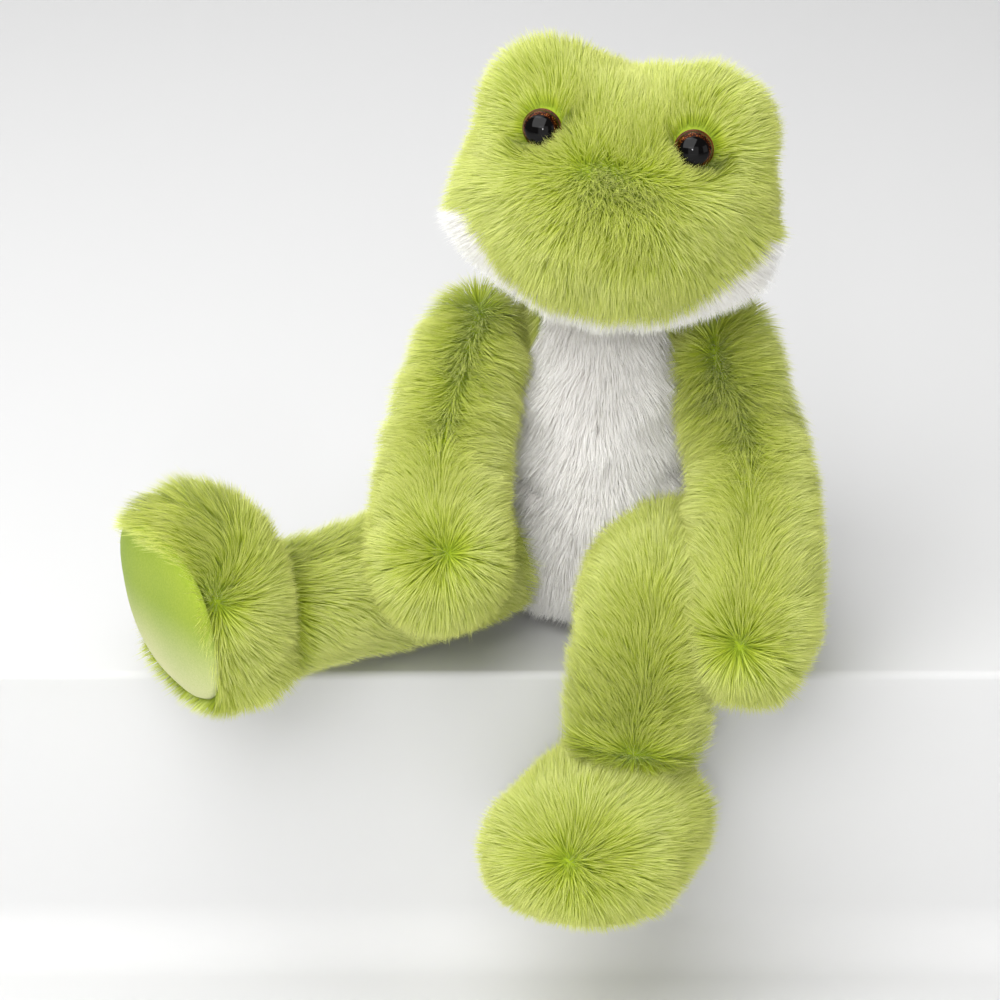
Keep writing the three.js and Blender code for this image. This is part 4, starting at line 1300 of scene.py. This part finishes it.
def build_stuffing():
    """The stuffing of the body, the head and each limb, kept out of its neighbours'."""
    stuff("torso", torso, [(head, 0.0)], "torso", ["torso_filling"], along=30, cap=6)
    stuff("head", head, [(torso, 6.0)], "head", ["head_filling"], up=36)
    for side in SIGNS:
        arm = f"{side}_arm"
        stuff(arm, arms[side], [(torso, 6.0), (legs[side], 6.0), (feet[side], 4.0), (head, 4.0)], arm,
              [f"{arm}_filling"], along=30, cap=6)
        stuff(f"{side}_foot", feet[side], [], f"{side}_shin", [f"{side}_foot_filling"], along=30, cap=6)
    for side in SIGNS:
        stuff(f"{side}_leg", legs[side], [(torso, 6.0), (feet[side], -3.0)], across_knee(side),
              [f"{side}_thigh_filling", f"{side}_shin_filling"], along=40, cap=6)


# Stage, light and camera

def build_stage():
    """A pale seat with a rounded front edge, a drop in front of it and a cove behind, one profile
    carried along X."""
    angles = np.linspace(0, np.pi / 2, 12)
    near, foot = SEAT_EDGE - DROP_SETBACK, DROP_SETBACK
    front = [(FLOOR_REACHES[0], -DROP), (near, -DROP)]
    lower = [(near + foot * np.sin(a), -DROP + foot * (1 - np.cos(a))) for a in angles]
    upper = [(SEAT_EDGE + SEAT_ROUNDING * (1 - np.cos(a)), -SEAT_ROUNDING + SEAT_ROUNDING * np.sin(a))
             for a in angles]
    back = [(COVE_PLACE + COVE_RADIUS * np.sin(a), COVE_RADIUS * (1 - np.cos(a))) for a in angles]
    profile = np.array(front + lower + upper + back + [(COVE_PLACE + COVE_RADIUS, FLOOR_REACHES[1])])
    xs = np.array((-FLOOR_HALF_WIDTH, FLOOR_HALF_WIDTH))
    points = np.stack(np.broadcast_arrays(xs[None, :], profile[:, :1], profile[:, 1:]), -1).reshape(-1, 3)
    faces = np.arange(len(profile) - 1)[:, None] * 2 + np.array((0, 1, 3, 2))
    material, _, _ = new_material("pale_floor", Roughness=0.85, Base_Color=FLOOR_COLOUR,
                                  Specular_IOR_Level=0.2)
    quad_object("floor", points, faces, material)


def build_lights():
    """The area lights, all aimed at one point, and an even sky."""
    world = bpy.data.worlds.new("studio")
    world.use_nodes = True
    sky = world.node_tree.nodes["Background"]
    sky.inputs[0].default_value, sky.inputs[1].default_value = (1, 1, 1, 1), WORLD_STRENGTH
    bpy.context.scene.world = world
    for name, place, size, energy in LIGHTS:
        lamp = bpy.data.lights.new(name, "AREA")
        lamp.energy, lamp.size = energy, size
        holder = bpy.data.objects.new(name, lamp)
        holder.location = Vector(place) * MM
        holder.rotation_euler = (Vector(place) - Vector(LIGHTS_AIM)).to_track_quat("Z", "Y").to_euler()
        bpy.context.scene.collection.objects.link(holder)
    bpy.context.scene.view_settings.view_transform = "Standard"


def build_camera():
    """The camera: its lens is the focal length in pixels as a share of the picture, times the sensor."""
    data = bpy.data.cameras.new("camera")
    data.lens = FOCAL_PIXELS / PICTURE_PIXELS * SENSOR
    data.sensor_width = SENSOR
    data.clip_end = 20
    camera = bpy.data.objects.new("camera", data)
    camera.location = Vector(CAMERA_PLACE) * MM
    look = Vector(CAMERA_TARGET) - Vector(CAMERA_PLACE)
    camera.rotation_euler = look.to_track_quat("-Z", "Y").to_euler()
    bpy.context.scene.collection.objects.link(camera)
    bpy.context.scene.camera = camera


build_camera()
build_stage()
build_lights()
build_torso()
build_head()
build_eyes()
for side in SIGNS:
    build_arm(side)
    build_leg(side)
    build_foot(side)
build_stuffing()
